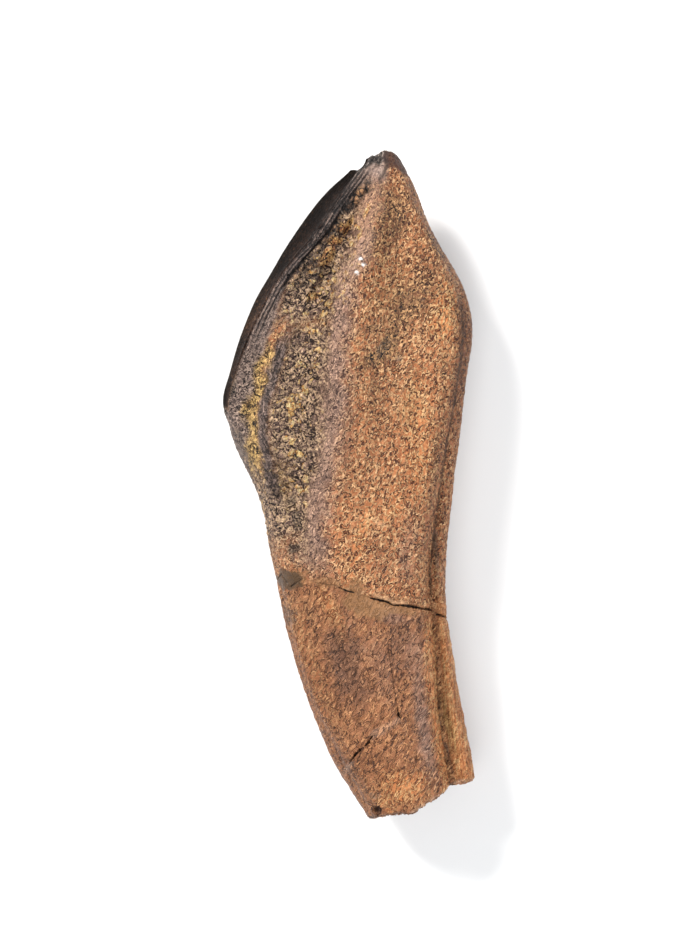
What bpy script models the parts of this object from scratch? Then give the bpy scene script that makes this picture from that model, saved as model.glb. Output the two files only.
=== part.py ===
"""A fossil hadrosaur tooth with its root, lying on its side on a flat surface.

The tooth is one solid, lofted through long rails: the ridges, edges and hollows that run from the
worn tip to the broken root end. +Y is towards the tip, -X is the tongue side that carries the
enamelled face, +X is the cheek side, and +Z is up from the surface. The origin lies on that
surface, under the middle of the tooth's box.

The tooth broke in two and was mended, so the rails are met by the break's line, where a shallow
groove runs round the tooth.
"""

import math

import bmesh
import bpy
from mathutils import Vector, noise

MM = 0.001  # the lengths below are in millimetres

CARINA_HEIGHT = 0.6  # the enamelled face's middle ridge, above that face
CARINA_TOP_Y = 23.55  # the ridge ends in a step, short of the tip
CARINA_FADE_Y = 14.0  # below this the ridge gets lower, and it is gone at the crown's base
CROWN_BASE_Y = 6.1
ROOT_START_Y = 2.5  # between the crown's base and this height the face turns into a round side
FACE_HOLLOW = 0.28  # how far each half of the enamelled face dips between ridge and edge
ROOT_ROUNDING = 0.2  # how far the root's tongue side bulges in place of that dip
RIDGE_FOOT = 0.16  # where the middle ridge's foot lies, from the face's middle to its edge
CROWN_FOOT_LIFT = 0.2  # how far that foot is lifted, as a share of the ridge's height
ROOT_FOOT_LIFT = 0.3  # and in the root, as a share of ROOT_ROUNDING
BAND_PLACE = 0.4  # where the band behind the enamel's edge lies, from that edge to the groove
BAND_LIFT = 0.15  # the enamel's edge stands up this far from the side behind it
ROOT_BAND_LIFT = 0.25
NEAR_FACET_PLACE = 0.52  # the broad side facet's middle, from one ridge to the next
FAR_FACET_PLACE = 0.5
NEAR_FACET_DIP = 0.3  # that facet is slightly hollow in the crown
FAR_FACET_DIP = 0.3
ROOT_FACET_BULGE = 0.25  # and slightly full in the root
FACET_TIP_FADE_Y = (20.0, 24.0)  # the facets go flat between these

BREAK_HALF_WIDTH = 0.2
BREAK_DEPTH = 0.28  # on the cheek side, where the break is open
FILLED_BREAK_DEPTH = 0.07  # on the tongue side, where filler closes it
FILLED_BREAK_X = (-2.5, 3.0)  # the depth changes between these
BREAK_TILT = -0.05  # how much lower the far side's break lies, for each millimetre of thickness
BREAK_LINE_Z = 8.0  # the height at which the break's line was laid out

LUMP_PITCH = 1.25  # the resorbed hollows are lumpy
LUMP_HEIGHT = 0.17
WORN_PITCH = 3.2  # the rest is only slightly uneven
WORN_HEIGHT = 0.07
LUMPS_END_Y = -4.5
LUMPS_END_FADE = 3.0
SMOOTH_TIP_Y = (21.5, 24.5)  # the unevenness fades out between these
NOISE_REACH = 1.6  # noise stays within about 0.6, so this brings it near 1
WORN_OFFSET = Vector((7, 3, 5))  # keeps the wear's pattern clear of the lumps' own

FRACTURE_HEIGHT = 0.3
FRACTURE_PITCH = 0.9

# The rings that close an end: each ring's share of the end's size, and how deep it lies.
TIP_RINGS = [(0.8, 0.1), (0.5, 0.3)]
ROOT_RINGS = [(0.88, -0.1), (0.66, 0.1), (0.4, 0.9), (0.18, 1.2)]  # a dip where the pulp was

CROWN_ROWS = 64
ROOT_ROWS = 30
SLOPE_STEP = 0.4  # how far to each side the enamelled face's direction is measured
BREAK_STEPS = 6  # steps towards the point where a rail meets the break
SHORTEST_SPAN = 0.02  # two rails never count as nearer than this

STONE_COLOUR = (0.27, 0.13, 0.07, 1)
STONE_ROUGHNESS = 0.6

# Each rail's points are (y, x, z), from the tip to the root's end.
RAILS = {
    "face_middle": [
        (24.5, 1.2, 5.3), (23.2, 0.4, 5.3), (21.8, -1.2, 5.3), (19.5, -3.0, 5.3), (16.6, -4.9, 5.3),
        (13.6, -6.6, 5.3), (10.7, -8.0, 5.3), (8.6, -8.8, 5.2), (6.1, -9.45, 5.0), (4.3, -8.85, 4.9),
        (2.0, -7.95, 4.8), (-0.9, -6.6, 4.7), (-2.4, -6.15, 4.65), (-5.4, -5.75, 4.5),
        (-8.4, -5.15, 4.4), (-12.1, -4.3, 4.2), (-16.6, -2.75, 4.0), (-20.3, -1.35, 3.8),
        (-24.9, 1.6, 3.5),
    ],
    "near_margin": [
        (24.6, 1.4, 6.2), (23.4, 0.6, 7.1), (21.2, -0.9, 8.4), (18.1, -3.0, 9.3), (16.1, -4.8, 9.4),
        (11.8, -7.2, 8.9), (8.6, -8.5, 7.7), (5.9, -9.1, 6.4), (2.4, -7.6, 6.6), (-0.2, -6.4, 6.7),
        (-3.2, -5.9, 6.6), (-7.6, -4.9, 6.2), (-12.5, -3.9, 5.8), (-17.0, -2.2, 5.6), (-24.8, 1.9, 4.6),
    ],
    "near_groove": [
        (24.6, 1.9, 6.5), (22.8, 1.3, 7.3), (20.8, 0.1, 8.2), (17.5, -1.9, 8.9), (13.2, -4.5, 8.6),
        (8.9, -6.3, 8.0), (4.7, -7.2, 7.4), (0.7, -6.6, 7.5), (-3.9, -5.4, 7.4), (-8.4, -4.4, 6.9),
        (-14.3, -2.9, 6.6), (-19.7, -0.7, 6.1), (-24.7, 2.1, 5.2),
    ],
    "near_rib": [
        (24.7, 2.1, 6.6), (22.6, 1.5, 7.4), (20.7, 0.4, 8.2), (17.3, -1.4, 8.8), (12.9, -3.7, 8.8),
        (8.8, -5.5, 8.8), (4.4, -6.3, 8.6), (0.4, -6.0, 8.3), (-4.3, -5.0, 7.9), (-8.4, -3.6, 7.6),
        (-14.3, -1.9, 7.3), (-19.7, 0.0, 6.8), (-24.6, 2.5, 5.7),
    ],
    "near_hollow": [
        (24.8, 2.3, 6.7), (22.4, 1.6, 7.4), (20.5, 0.5, 8.0), (17.0, -1.1, 8.4), (12.6, -3.0, 8.4),
        (8.0, -3.9, 8.3), (2.8, -4.3, 8.2), (-2.4, -4.3, 8.0), (-5.4, -3.7, 7.9), (-8.4, -2.4, 7.8),
        (-12.1, -1.0, 7.4), (-15.8, -0.1, 7.2), (-19.7, 1.2, 7.0), (-24.4, 3.4, 6.1),
    ],
    "near_main_ridge": [
        (24.9, 2.7, 6.8), (22.2, 1.7, 8.1), (19.0, 1.3, 9.2), (16.4, 0.5, 9.6), (13.6, -0.3, 9.8),
        (8.8, -0.8, 9.9), (5.4, -1.0, 9.8), (2.0, -1.5, 9.5), (-1.7, -2.1, 9.0), (-4.3, -2.2, 8.7),
        (-8.0, -1.1, 8.3), (-11.7, 0.4, 8.1), (-15.1, 1.6, 7.9), (-19.6, 3.0, 7.5), (-24.3, 4.6, 6.7),
    ],
    "near_labial_ridge": [
        (24.9, 3.3, 6.0), (22.9, 4.0, 6.6), (18.8, 5.7, 6.7), (15.1, 7.5, 6.4), (12.5, 8.1, 6.1),
        (8.0, 7.7, 6.3), (3.1, 6.8, 6.7), (-1.7, 6.0, 7.0), (-6.9, 5.5, 7.1), (-12.9, 6.0, 6.9),
        (-16.6, 6.3, 6.6), (-22.8, 7.1, 5.9),
    ],
    "near_labial_groove": [
        (24.85, 3.4, 5.8), (22.8, 4.2, 6.3), (18.7, 6.0, 6.3), (15.0, 7.8, 5.9), (12.1, 8.4, 5.6),
        (8.0, 8.0, 5.7), (3.1, 7.2, 5.8), (-1.7, 6.5, 5.65), (-6.9, 6.05, 5.3), (-12.9, 6.55, 5.0),
        (-16.6, 6.8, 4.8), (-22.3, 7.65, 4.3),
    ],
    "near_labial_rib": [
        (24.8, 3.5, 5.6), (22.8, 4.45, 5.8), (18.6, 6.2, 5.7), (14.9, 8.1, 5.3), (12.1, 8.8, 5.0),
        (8.0, 8.4, 5.0), (3.1, 7.7, 5.3), (-1.7, 7.0, 5.6), (-6.9, 6.6, 5.7), (-12.9, 7.2, 5.5),
        (-17.0, 7.7, 5.3), (-21.9, 8.7, 4.9),
    ],
    "labial_edge": [
        (24.8, 3.55, 5.2), (22.9, 4.6, 4.9), (19.2, 6.2, 4.6), (17.7, 7.0, 4.5), (15.5, 8.3, 4.3),
        (14.0, 8.9, 4.1), (10.6, 9.25, 3.8), (8.0, 8.8, 3.9), (4.3, 8.4, 4.0), (0.6, 8.0, 4.1),
        (-3.2, 7.55, 4.2), (-9.3, 7.35, 4.2), (-12.1, 7.8, 4.2), (-15.8, 8.4, 4.1), (-21.9, 9.55, 3.8),
    ],
    "far_labial_ridge": [
        (24.8, 3.4, 4.7), (22.8, 4.3, 3.8), (18.7, 6.0, 2.6), (14.9, 8.0, 1.2), (12.1, 8.5, 0.5),
        (8.0, 8.0, -0.05), (4.3, 7.5, -0.05), (0.6, 6.9, 0.5), (-3.2, 6.6, 1.1), (-9.3, 6.5, 1.5),
        (-18.8, 8.2, 1.6), (-22.1, 8.6, 1.7),
    ],
    "far_main_ridge": [
        (24.9, 2.7, 4.2), (22.2, 1.8, 2.6), (18.7, 1.1, 1.2), (16.4, 0.4, 0.5), (13.6, -0.3, -0.05),
        (8.0, -0.7, -0.12), (2.0, -1.1, 0.0), (-1.7, -1.5, 0.3), (-5.4, -1.1, 0.4), (-8.4, -0.4, 0.3),
        (-11.7, 0.7, 0.1), (-15.1, 1.6, -0.12), (-19.6, 3.0, -0.05), (-24.3, 4.4, 0.5),
    ],
    "far_hollow": [
        (24.8, 2.2, 4.3), (22.4, 1.2, 3.2), (18.7, -0.7, 1.8), (14.6, -2.6, 1.0), (9.9, -3.9, 0.8),
        (4.3, -4.3, 0.6), (-0.2, -4.1, 0.7), (-5.4, -3.4, 0.9), (-11.4, -1.5, 0.8), (-18.1, 0.6, 0.9),
        (-24.4, 3.2, 1.3),
    ],
    "far_rib": [
        (24.6, 1.8, 4.6), (22.8, 1.0, 3.9), (19.3, -1.3, 2.4), (15.4, -3.7, 1.5), (11.4, -5.4, 0.8),
        (6.9, -6.3, 0.0), (3.9, -6.4, -0.12), (0.6, -5.8, 0.4), (-5.4, -4.8, 1.3), (-11.4, -3.6, 1.6),
        (-18.1, -1.2, 1.8), (-24.6, 2.2, 2.2),
    ],
    "far_margin": [
        (24.4, 1.3, 4.5), (23.4, 0.2, 3.9), (21.9, -1.5, 2.9), (19.8, -3.4, 1.9), (16.8, -5.3, 1.2),
        (13.8, -6.9, 1.1), (10.9, -8.2, 1.6), (8.8, -8.9, 2.4), (6.1, -9.4, 3.9), (3.5, -8.6, 3.5),
        (0.9, -7.2, 2.7), (-3.2, -5.9, 2.2), (-8.0, -4.9, 2.3), (-14.3, -3.4, 2.4), (-19.9, -1.2, 2.5),
        (-24.9, 1.8, 2.8),
    ],
}

# The ring that a row of the loft follows, and how many columns lead from each rail to the next.
# The names that aren't in RAILS are worked out between their neighbours, by between_rails.
RING = [
    ("face_middle", 1), ("near_shoulder", 1), ("near_valley", 2), ("near_margin", 1),
    ("near_band", 1), ("near_groove", 1), ("near_rib", 3), ("near_hollow", 4),
    ("near_main_ridge", 3), ("near_facet", 3), ("near_labial_ridge", 1), ("near_labial_groove", 1),
    ("near_labial_rib", 2), ("labial_edge", 2), ("far_labial_ridge", 3), ("far_facet", 3),
    ("far_main_ridge", 3), ("far_hollow", 2), ("far_rib", 3), ("far_margin", 2),
    ("far_valley", 1), ("far_shoulder", 1),
]

# How sharply the ring turns at a rail: 0 is a smooth curve and 1 a corner.
CROWN_SHARPNESS = {"near_margin": 0.9, "far_margin": 0.9, "near_band": 0.3, "face_middle": 0.5}
SHARPNESS = {"near_labial_ridge": 0.4, "near_labial_groove": 0.4, "far_labial_ridge": 0.3}

# The break's line on the near side, as (x, y). Beyond its ends it goes on straight.
BREAK_LINE = [
    (-5.6, -6.7), (-3.7, -7.05), (-1.7, -7.2), (-0.4, -7.65), (0.6, -7.8), (1.5, -8.15),
    (2.5, -8.6), (3.7, -8.65), (4.8, -8.9), (6.1, -9.0), (6.5, -9.3), (7.4, -9.65),
]


def smooth_step(low, high, value):
    """0 below low, 1 above high, and a smooth rise between them."""
    share = min(max((value - low) / (high - low), 0.0), 1.0)
    return share * share * (3 - 2 * share)


def hermite(start, end, start_slope, end_slope, share):
    """A cubic from start to end; the slopes are those over the whole span."""
    s2, s3 = share * share, share * share * share
    return (
        start * (2 * s3 - 3 * s2 + 1)
        + start_slope * (s3 - 2 * s2 + share)
        + end * (3 * s2 - 2 * s3)
        + end_slope * (s3 - s2)
    )


def slope_at(places, values, index):
    """The slope of a smooth curve through uneven points, at one of them."""
    last = len(places) - 1
    before, after = max(index - 1, 0), min(index + 1, last)
    if before == index or after == index:
        return (values[after] - values[before]) / (places[after] - places[before])
    back, ahead = places[index] - places[before], places[after] - places[index]
    fall = (values[index] - values[before]) / back
    rise = (values[after] - values[index]) / ahead
    return (fall * ahead + rise * back) / (back + ahead)


def curve_through(places, values, place):
    """The smooth curve's value at a place; places are in falling order."""
    index = 0
    while index < len(places) - 2 and place < places[index + 1]:
        index += 1
    span = places[index + 1] - places[index]
    share = (place - places[index]) / span
    return hermite(
        values[index],
        values[index + 1],
        slope_at(places, values, index) * span,
        slope_at(places, values, index + 1) * span,
        share,
    )


def rail_point(name, y):
    points = RAILS[name]
    places = [p[0] for p in points]
    x = curve_through(places, [p[1] for p in points], y)
    z = curve_through(places, [p[2] for p in points], y)
    return Vector((x, y, z))


def break_y(x, z):
    """The height at which the break crosses a line along the tooth at x and z."""
    line = BREAK_LINE
    index = 0
    while index < len(line) - 2 and x > line[index + 1][0]:
        index += 1
    (x0, y0), (x1, y1) = line[index], line[index + 1]
    near_side = y0 + (y1 - y0) * (x - x0) / (x1 - x0)
    return near_side + BREAK_TILT * (BREAK_LINE_Z - z)


def rail_break(name):
    """The y of the point where a rail meets the break, found by stepping towards it."""
    y = BREAK_LINE[len(BREAK_LINE) // 2][1]
    for _ in range(BREAK_STEPS):
        point = rail_point(name, y)
        y = break_y(point.x, point.z)
    return y


def break_depth(x):
    open_share = smooth_step(FILLED_BREAK_X[0], FILLED_BREAK_X[1], x)
    return FILLED_BREAK_DEPTH + (BREAK_DEPTH - FILLED_BREAK_DEPTH) * open_share


def face_outwards(y):
    """The way the enamelled face looks, level with the surface."""
    top, bottom = RAILS["face_middle"][0][0], RAILS["face_middle"][-1][0]
    high, low = min(y + SLOPE_STEP, top), max(y - SLOPE_STEP, bottom)
    along = rail_point("face_middle", high) - rail_point("face_middle", low)
    return Vector((-along.y, along.x, 0)).normalized()


def carina_height(y):
    """The middle ridge starts with a step near the tip and fades towards the crown's base."""
    if y > CARINA_TOP_Y:
        return 0.0
    fade = smooth_step(CROWN_BASE_Y, CARINA_FADE_Y, y)
    return CARINA_HEIGHT * fade


def between_rails(rails, y):
    """Adds the rails that follow from their neighbours: the two halves of the enamelled face, the
    enamel's standing edge and the broad facets."""
    crown = smooth_step(ROOT_START_Y, CROWN_BASE_Y + 1, y)
    outwards = face_outwards(y)
    middle = rails["face_middle"].copy()
    for side in ("near", "far"):
        margin = rails[side + "_margin"]
        dip = -FACE_HOLLOW * crown + ROOT_ROUNDING * (1 - crown)
        rails[side + "_valley"] = middle.lerp(margin, 0.5) + outwards * dip
        lift = CROWN_FOOT_LIFT * carina_height(y) * crown + ROOT_FOOT_LIFT * ROOT_ROUNDING * (1 - crown)
        rails[side + "_shoulder"] = middle.lerp(margin, RIDGE_FOOT) + outwards * lift
    rails["face_middle"] = middle + outwards * carina_height(y)
    band = rails["near_margin"].lerp(rails["near_groove"], BAND_PLACE)
    rails["near_band"] = band + Vector((0, 0, BAND_LIFT * crown + ROOT_BAND_LIFT * (1 - crown)))
    tip_fade = 1 - smooth_step(*FACET_TIP_FADE_Y, y)
    facet_lift = ROOT_FACET_BULGE * (1 - crown) - NEAR_FACET_DIP * crown * tip_fade
    rails["near_facet"] = rails["near_main_ridge"].lerp(rails["near_labial_ridge"], NEAR_FACET_PLACE)
    rails["near_facet"].z += facet_lift
    far_ridge = rails["far_labial_ridge"]
    rails["far_facet"] = far_ridge.lerp(rails["far_main_ridge"], FAR_FACET_PLACE)
    rails["far_facet"].z += FAR_FACET_DIP * tip_fade


def ring_points(rails, crown):
    """The closed ring of one row: a smooth curve through the rails, with corners where they are
    sharp. Each point comes with its share of the way round, as rail index plus fraction."""
    corners = [rails[name] for name, _ in RING]
    count = len(corners)
    ahead_of = [corners[(i + 1) % count] for i in range(count)]
    lengths = [max((after - here).length, SHORTEST_SPAN) for here, after in zip(corners, ahead_of)]
    tangents = []
    for i, (name, _) in enumerate(RING):
        back, ahead = lengths[i - 1], lengths[i]
        fall = (corners[i] - corners[i - 1]) / back
        rise = (corners[(i + 1) % count] - corners[i]) / ahead
        sharp = max(CROWN_SHARPNESS.get(name, 0) * crown, SHARPNESS.get(name, 0))
        tangents.append((fall * ahead + rise * back) / (back + ahead) * (1 - sharp))
    points = []
    for i, (_, columns) in enumerate(RING):
        j = (i + 1) % count
        for step in range(columns):
            share = step / columns
            place = hermite(
                corners[i], corners[j], tangents[i] * lengths[i], tangents[j] * lengths[i], share
            )
            points.append((place, i + share))
    return points


def row_heights():
    """Each row as (how far from tip to break, how far from break to root end, is it the groove)."""
    rows = [(i / CROWN_ROWS, 0.0, False) for i in range(CROWN_ROWS)]
    rows.append((1.0, 0.0, True))
    rows += [(1.0, (i + 1) / ROOT_ROWS, False) for i in range(ROOT_ROWS)]
    return rows


def rail_heights(crown_share, root_share):
    """Each rail's y in a row. Rows next to the break keep close to its groove."""
    heights = {}
    for name, points in RAILS.items():
        top, bottom, middle = points[0][0], points[-1][0], rail_break(name)
        if root_share == 0.0:
            above = middle + BREAK_HALF_WIDTH
            last = (CROWN_ROWS - 1) / CROWN_ROWS
            heights[name] = top + (above - top) * crown_share / last if crown_share < 1 else middle
        else:
            below = middle - BREAK_HALF_WIDTH
            first = 1 / ROOT_ROWS
            heights[name] = below + (bottom - below) * (root_share - first) / (1 - first)
    return heights


def loft_rows():
    rows = []
    for crown_share, root_share, groove in row_heights():
        heights = rail_heights(crown_share, root_share)
        rails = {name: rail_point(name, y) for name, y in heights.items()}
        face_y = heights["face_middle"]
        between_rails(rails, face_y)
        crown = smooth_step(ROOT_START_Y, CROWN_BASE_Y + 1, face_y)
        rows.append((ring_points(rails, crown), groove))
    return rows


def add_ring(bm, points):
    return [bm.verts.new(point) for point in points]


def join_rings(bm, first, second):
    count = len(first)
    for i in range(count):
        j = (i + 1) % count
        bm.faces.new((first[i], first[j], second[j], second[i]))


def close_end(bm, ring, inner_rings, inwards):
    """Closes an end with rough rings, each (its share of the end's size, how deep it lies)."""
    outline = [v.co.copy() for v in ring]
    middle = sum(outline, Vector()) / len(outline)
    for share, depth in inner_rings:
        places = [middle.lerp(point, share) for point in outline]
        rough = [FRACTURE_HEIGHT * noise.noise(place * FRACTURE_PITCH) for place in places]
        inner = add_ring(bm, [p + inwards * (depth + r) for p, r in zip(places, rough)])
        join_rings(bm, ring, inner)
        ring = inner
    centre = bm.verts.new(middle + inwards * inner_rings[-1][1])
    for i in range(len(ring)):
        bm.faces.new((ring[i], ring[(i + 1) % len(ring)], centre))


def lumpiness(share_round, y):
    """How lumpy the surface is: 1 in the hollows beside the enamelled face, 0 elsewhere."""
    names = [name for name, _ in RING]
    near_start, near_end = names.index("near_groove"), names.index("near_main_ridge")
    far_start, far_end = names.index("far_main_ridge"), names.index("far_margin")
    across = 0.0
    for start, end in ((near_start, near_end), (far_start, far_end)):
        inside = min(share_round - start, end - share_round)
        across = max(across, smooth_step(-0.3, 0.5, inside))
    return across * smooth_step(LUMPS_END_Y - LUMPS_END_FADE, LUMPS_END_Y + LUMPS_END_FADE, y)


def relief(place, share_round):
    """How far the surface stands out at a place."""
    lumps = noise.noise(place / LUMP_PITCH) * NOISE_REACH * LUMP_HEIGHT
    worn = noise.noise(place / WORN_PITCH + WORN_OFFSET) * NOISE_REACH * WORN_HEIGHT
    fade = 1 - smooth_step(*SMOOTH_TIP_Y, place.y)
    return (lumps * lumpiness(share_round, place.y) + worn) * fade


def build_surface():
    bm = bmesh.new()
    rings, outs, grooves = [], [], []
    for points, groove in loft_rows():
        rings.append(add_ring(bm, [place for place, _ in points]))
        outs.append([relief(place, share) for place, share in points])
        grooves.append(groove)
    for first, second in zip(rings, rings[1:]):
        join_rings(bm, first, second)
    bmesh.ops.recalc_face_normals(bm, faces=bm.faces)
    bm.normal_update()
    normals = [[v.normal.copy() for v in ring] for ring in rings]
    # While the ends are open, the enamelled face, which looks to -X, tells which way is out.
    if normals[len(rings) // 2][0].x > 0:
        normals = [[-n for n in row] for row in normals]
    for ring, row_normals, row_outs, groove in zip(rings, normals, outs, grooves):
        for vert, normal, out in zip(ring, row_normals, row_outs):
            vert.co += normal * (out - (break_depth(vert.co.x) if groove else 0))
    close_end(bm, rings[0], TIP_RINGS, Vector((0, -1, 0)))
    close_end(bm, rings[-1], ROOT_RINGS, Vector((0, 1, 0)))
    bmesh.ops.recalc_face_normals(bm, faces=bm.faces)
    return bm


def set_down(bm):
    """Flattens what lies below the surface, and centres the tooth over the origin."""
    for vert in bm.verts:
        vert.co.z = max(vert.co.z, 0.0)
    low = [min(v.co[axis] for v in bm.verts) for axis in range(3)]
    high = [max(v.co[axis] for v in bm.verts) for axis in range(3)]
    shift = Vector(((low[0] + high[0]) / 2, (low[1] + high[1]) / 2, low[2]))
    for vert in bm.verts:
        vert.co = (vert.co - shift) * MM


def stone_material():
    material = bpy.data.materials.new("fossil_dentine")
    material.use_nodes = True
    shader = material.node_tree.nodes["Principled BSDF"]
    shader.inputs["Base Color"].default_value = STONE_COLOUR
    shader.inputs["Roughness"].default_value = STONE_ROUGHNESS
    return material


def build_tooth():
    bm = build_surface()
    set_down(bm)
    bmesh.ops.triangulate(bm, faces=bm.faces, quad_method="SHORT_EDGE")
    mesh = bpy.data.meshes.new("hadrosaur_tooth")
    bm.to_mesh(mesh)
    bm.free()
    mesh.materials.append(stone_material())
    tooth = bpy.data.objects.new("hadrosaur_tooth", mesh)
    bpy.context.scene.collection.objects.link(tooth)
    return tooth


for old in list(bpy.context.scene.objects):
    bpy.data.objects.remove(old, do_unlink=True)
build_tooth()
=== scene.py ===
# %% [markdown]
# # A fossil tooth, from a plain solid to a finished surface
#
# The object is a tooth of a hadrosaur, a plant-eating dinosaur. It lies on its side. +Y is the worn
# tip, -X the side that faced the tongue and carries the enamel, +X the cheek side and +Z is up.
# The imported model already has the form: ridges, hollows, the mended break. This lesson makes the
# surface that a collector would see: pebbly resorbed hollows, sandy dentine, streaked root, a dark
# enamelled face, cracks and old filler.

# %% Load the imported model
import math

import bmesh
import bpy
import numpy as np
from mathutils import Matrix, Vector, noise


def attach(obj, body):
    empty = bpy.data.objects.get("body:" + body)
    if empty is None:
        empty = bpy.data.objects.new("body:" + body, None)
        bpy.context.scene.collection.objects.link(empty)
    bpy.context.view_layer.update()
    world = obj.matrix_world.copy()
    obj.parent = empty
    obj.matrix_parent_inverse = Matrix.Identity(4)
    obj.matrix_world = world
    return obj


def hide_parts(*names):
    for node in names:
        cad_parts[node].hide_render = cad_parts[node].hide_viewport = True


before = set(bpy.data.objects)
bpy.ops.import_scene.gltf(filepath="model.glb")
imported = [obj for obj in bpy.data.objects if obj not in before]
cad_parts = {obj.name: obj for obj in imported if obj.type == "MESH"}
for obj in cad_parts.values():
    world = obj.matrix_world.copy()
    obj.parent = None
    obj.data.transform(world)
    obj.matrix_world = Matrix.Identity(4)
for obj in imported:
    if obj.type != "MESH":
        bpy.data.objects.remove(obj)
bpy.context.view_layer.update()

MM = 0.001  # sizes on the tooth are in millimetres, and Blender's unit here is the metre
tooth_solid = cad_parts["hadrosaur_tooth"]

# %% [markdown]
# ## Floor, camera and light
#
# A fossil is shown best from straight above, on a pale table. A long lens keeps the sides from
# leaning away, so the outline stays true. One wide light comes from the upper left, low enough to
# rake over the grain, and a weaker one from the right keeps the shadows open.

# %% A pale table
FLOOR_SIZE = 1.2  # metres
PAPER = (0.8, 0.8, 0.8, 1)


def make_floor():
    bpy.ops.mesh.primitive_plane_add(size=FLOOR_SIZE)
    floor = bpy.context.object
    floor.name = "table_top"
    paint = bpy.data.materials.new("table_paper")
    paint.use_nodes = True
    shader = paint.node_tree.nodes["Principled BSDF"]
    shader.inputs["Base Color"].default_value = PAPER
    shader.inputs["Roughness"].default_value = 0.9
    shader.inputs["Specular IOR Level"].default_value = 0.1
    floor.data.materials.append(paint)


make_floor()

# %% A camera that looks straight down
LENS = 135.0
SENSOR = 36.0
FRAME_HEIGHT = 69.3 * MM  # what the picture's long side takes in, at the tooth's middle height
FRAME_CENTRE_Y = 1.68 * MM
TOOTH_MIDDLE_Z = 5.0 * MM

camera_data = bpy.data.cameras.new("copy_stand")
camera_data.lens = LENS
camera_data.sensor_width = SENSOR
camera_data.clip_start = 10 * MM
camera = bpy.data.objects.new("copy_stand", camera_data)
bpy.context.scene.collection.objects.link(camera)
camera.location = (0, FRAME_CENTRE_Y, TOOTH_MIDDLE_Z + FRAME_HEIGHT * LENS / SENSOR)
bpy.context.scene.camera = camera
print("the camera is", round(camera.location.z / MM), "mm above the table")

# %% Wide soft lights
ROOM_COLOUR = (0.95, 0.97, 1.0, 1)
ROOM_STRENGTH = 0.36


def add_light(name, place, size, power, colour):
    """A square light that looks at the tooth; its place and size are in metres."""
    data = bpy.data.lights.new(name, "AREA")
    data.size, data.energy, data.color = size, power, colour
    light = bpy.data.objects.new(name, data)
    bpy.context.scene.collection.objects.link(light)
    light.location = place
    light.rotation_euler = (-Vector(place)).to_track_quat("-Z", "Y").to_euler()


add_light("window", (-0.34, 0.36, 0.34), 0.16, 6.6, (1.0, 0.98, 0.95))
add_light("card", (0.40, -0.10, 0.30), 0.35, 1.7, (0.96, 0.98, 1.0))
add_light("ceiling", (0.0, -0.25, 0.55), 0.5, 2.0, (1.0, 1.0, 1.0))

world = bpy.data.worlds.new("studio")
bpy.context.scene.world = world
world.use_nodes = True
world.node_tree.nodes["Background"].inputs["Color"].default_value = ROOM_COLOUR
world.node_tree.nodes["Background"].inputs["Strength"].default_value = ROOM_STRENGTH
bpy.context.scene.view_settings.view_transform = "Standard"

# %% [markdown]
# ## Writing node trees as Python
#
# Both the relief (Geometry Nodes) and the colours (shader nodes) are mostly arithmetic on numbers
# that vary over the surface. Adding a Math node by hand for every plus sign is tiring, so a small
# class wraps a socket and lets Python's operators add the nodes.

# %% A wrapped socket


class Wire:
    """A node's output. Arithmetic on it adds Math nodes to its tree."""

    def __init__(self, workshop, socket):
        self.workshop, self.socket = workshop, socket

    def math(self, operation, *values):
        return self.workshop.add("ShaderNodeMath", {"operation": operation}, dict(enumerate(values)))

    def then(self, operation, *others):
        """A Math node with this as its first value."""
        return self.math(operation, self, *others)

    def __add__(self, other):
        return self.math("ADD", self, other)

    def __sub__(self, other):
        return self.math("SUBTRACT", self, other)

    def __rsub__(self, other):
        return self.math("SUBTRACT", other, self)

    def __mul__(self, other):
        return self.math("MULTIPLY", self, other)

    def __truediv__(self, other):
        return self.math("DIVIDE", self, other)

    def __rtruediv__(self, other):
        return self.math("DIVIDE", other, self)

    def __pow__(self, other):
        return self.math("POWER", self, other)

    __radd__ = __add__
    __rmul__ = __mul__

    def rise(self, low, high):
        """0 where this is below low, 1 above high, with a smooth rise between; low may be higher."""
        name = "ShaderNodeMapRange"
        settings = {"interpolation_type": "SMOOTHSTEP"}
        flip = high < low
        low, high = min(low, high), max(low, high)
        wire = self.workshop.add(name, settings, {"Value": self, "From Min": low, "From Max": high})
        return 1 - wire if flip else wire

    def above(self, other):
        return self.then("MAXIMUM", other)


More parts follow.
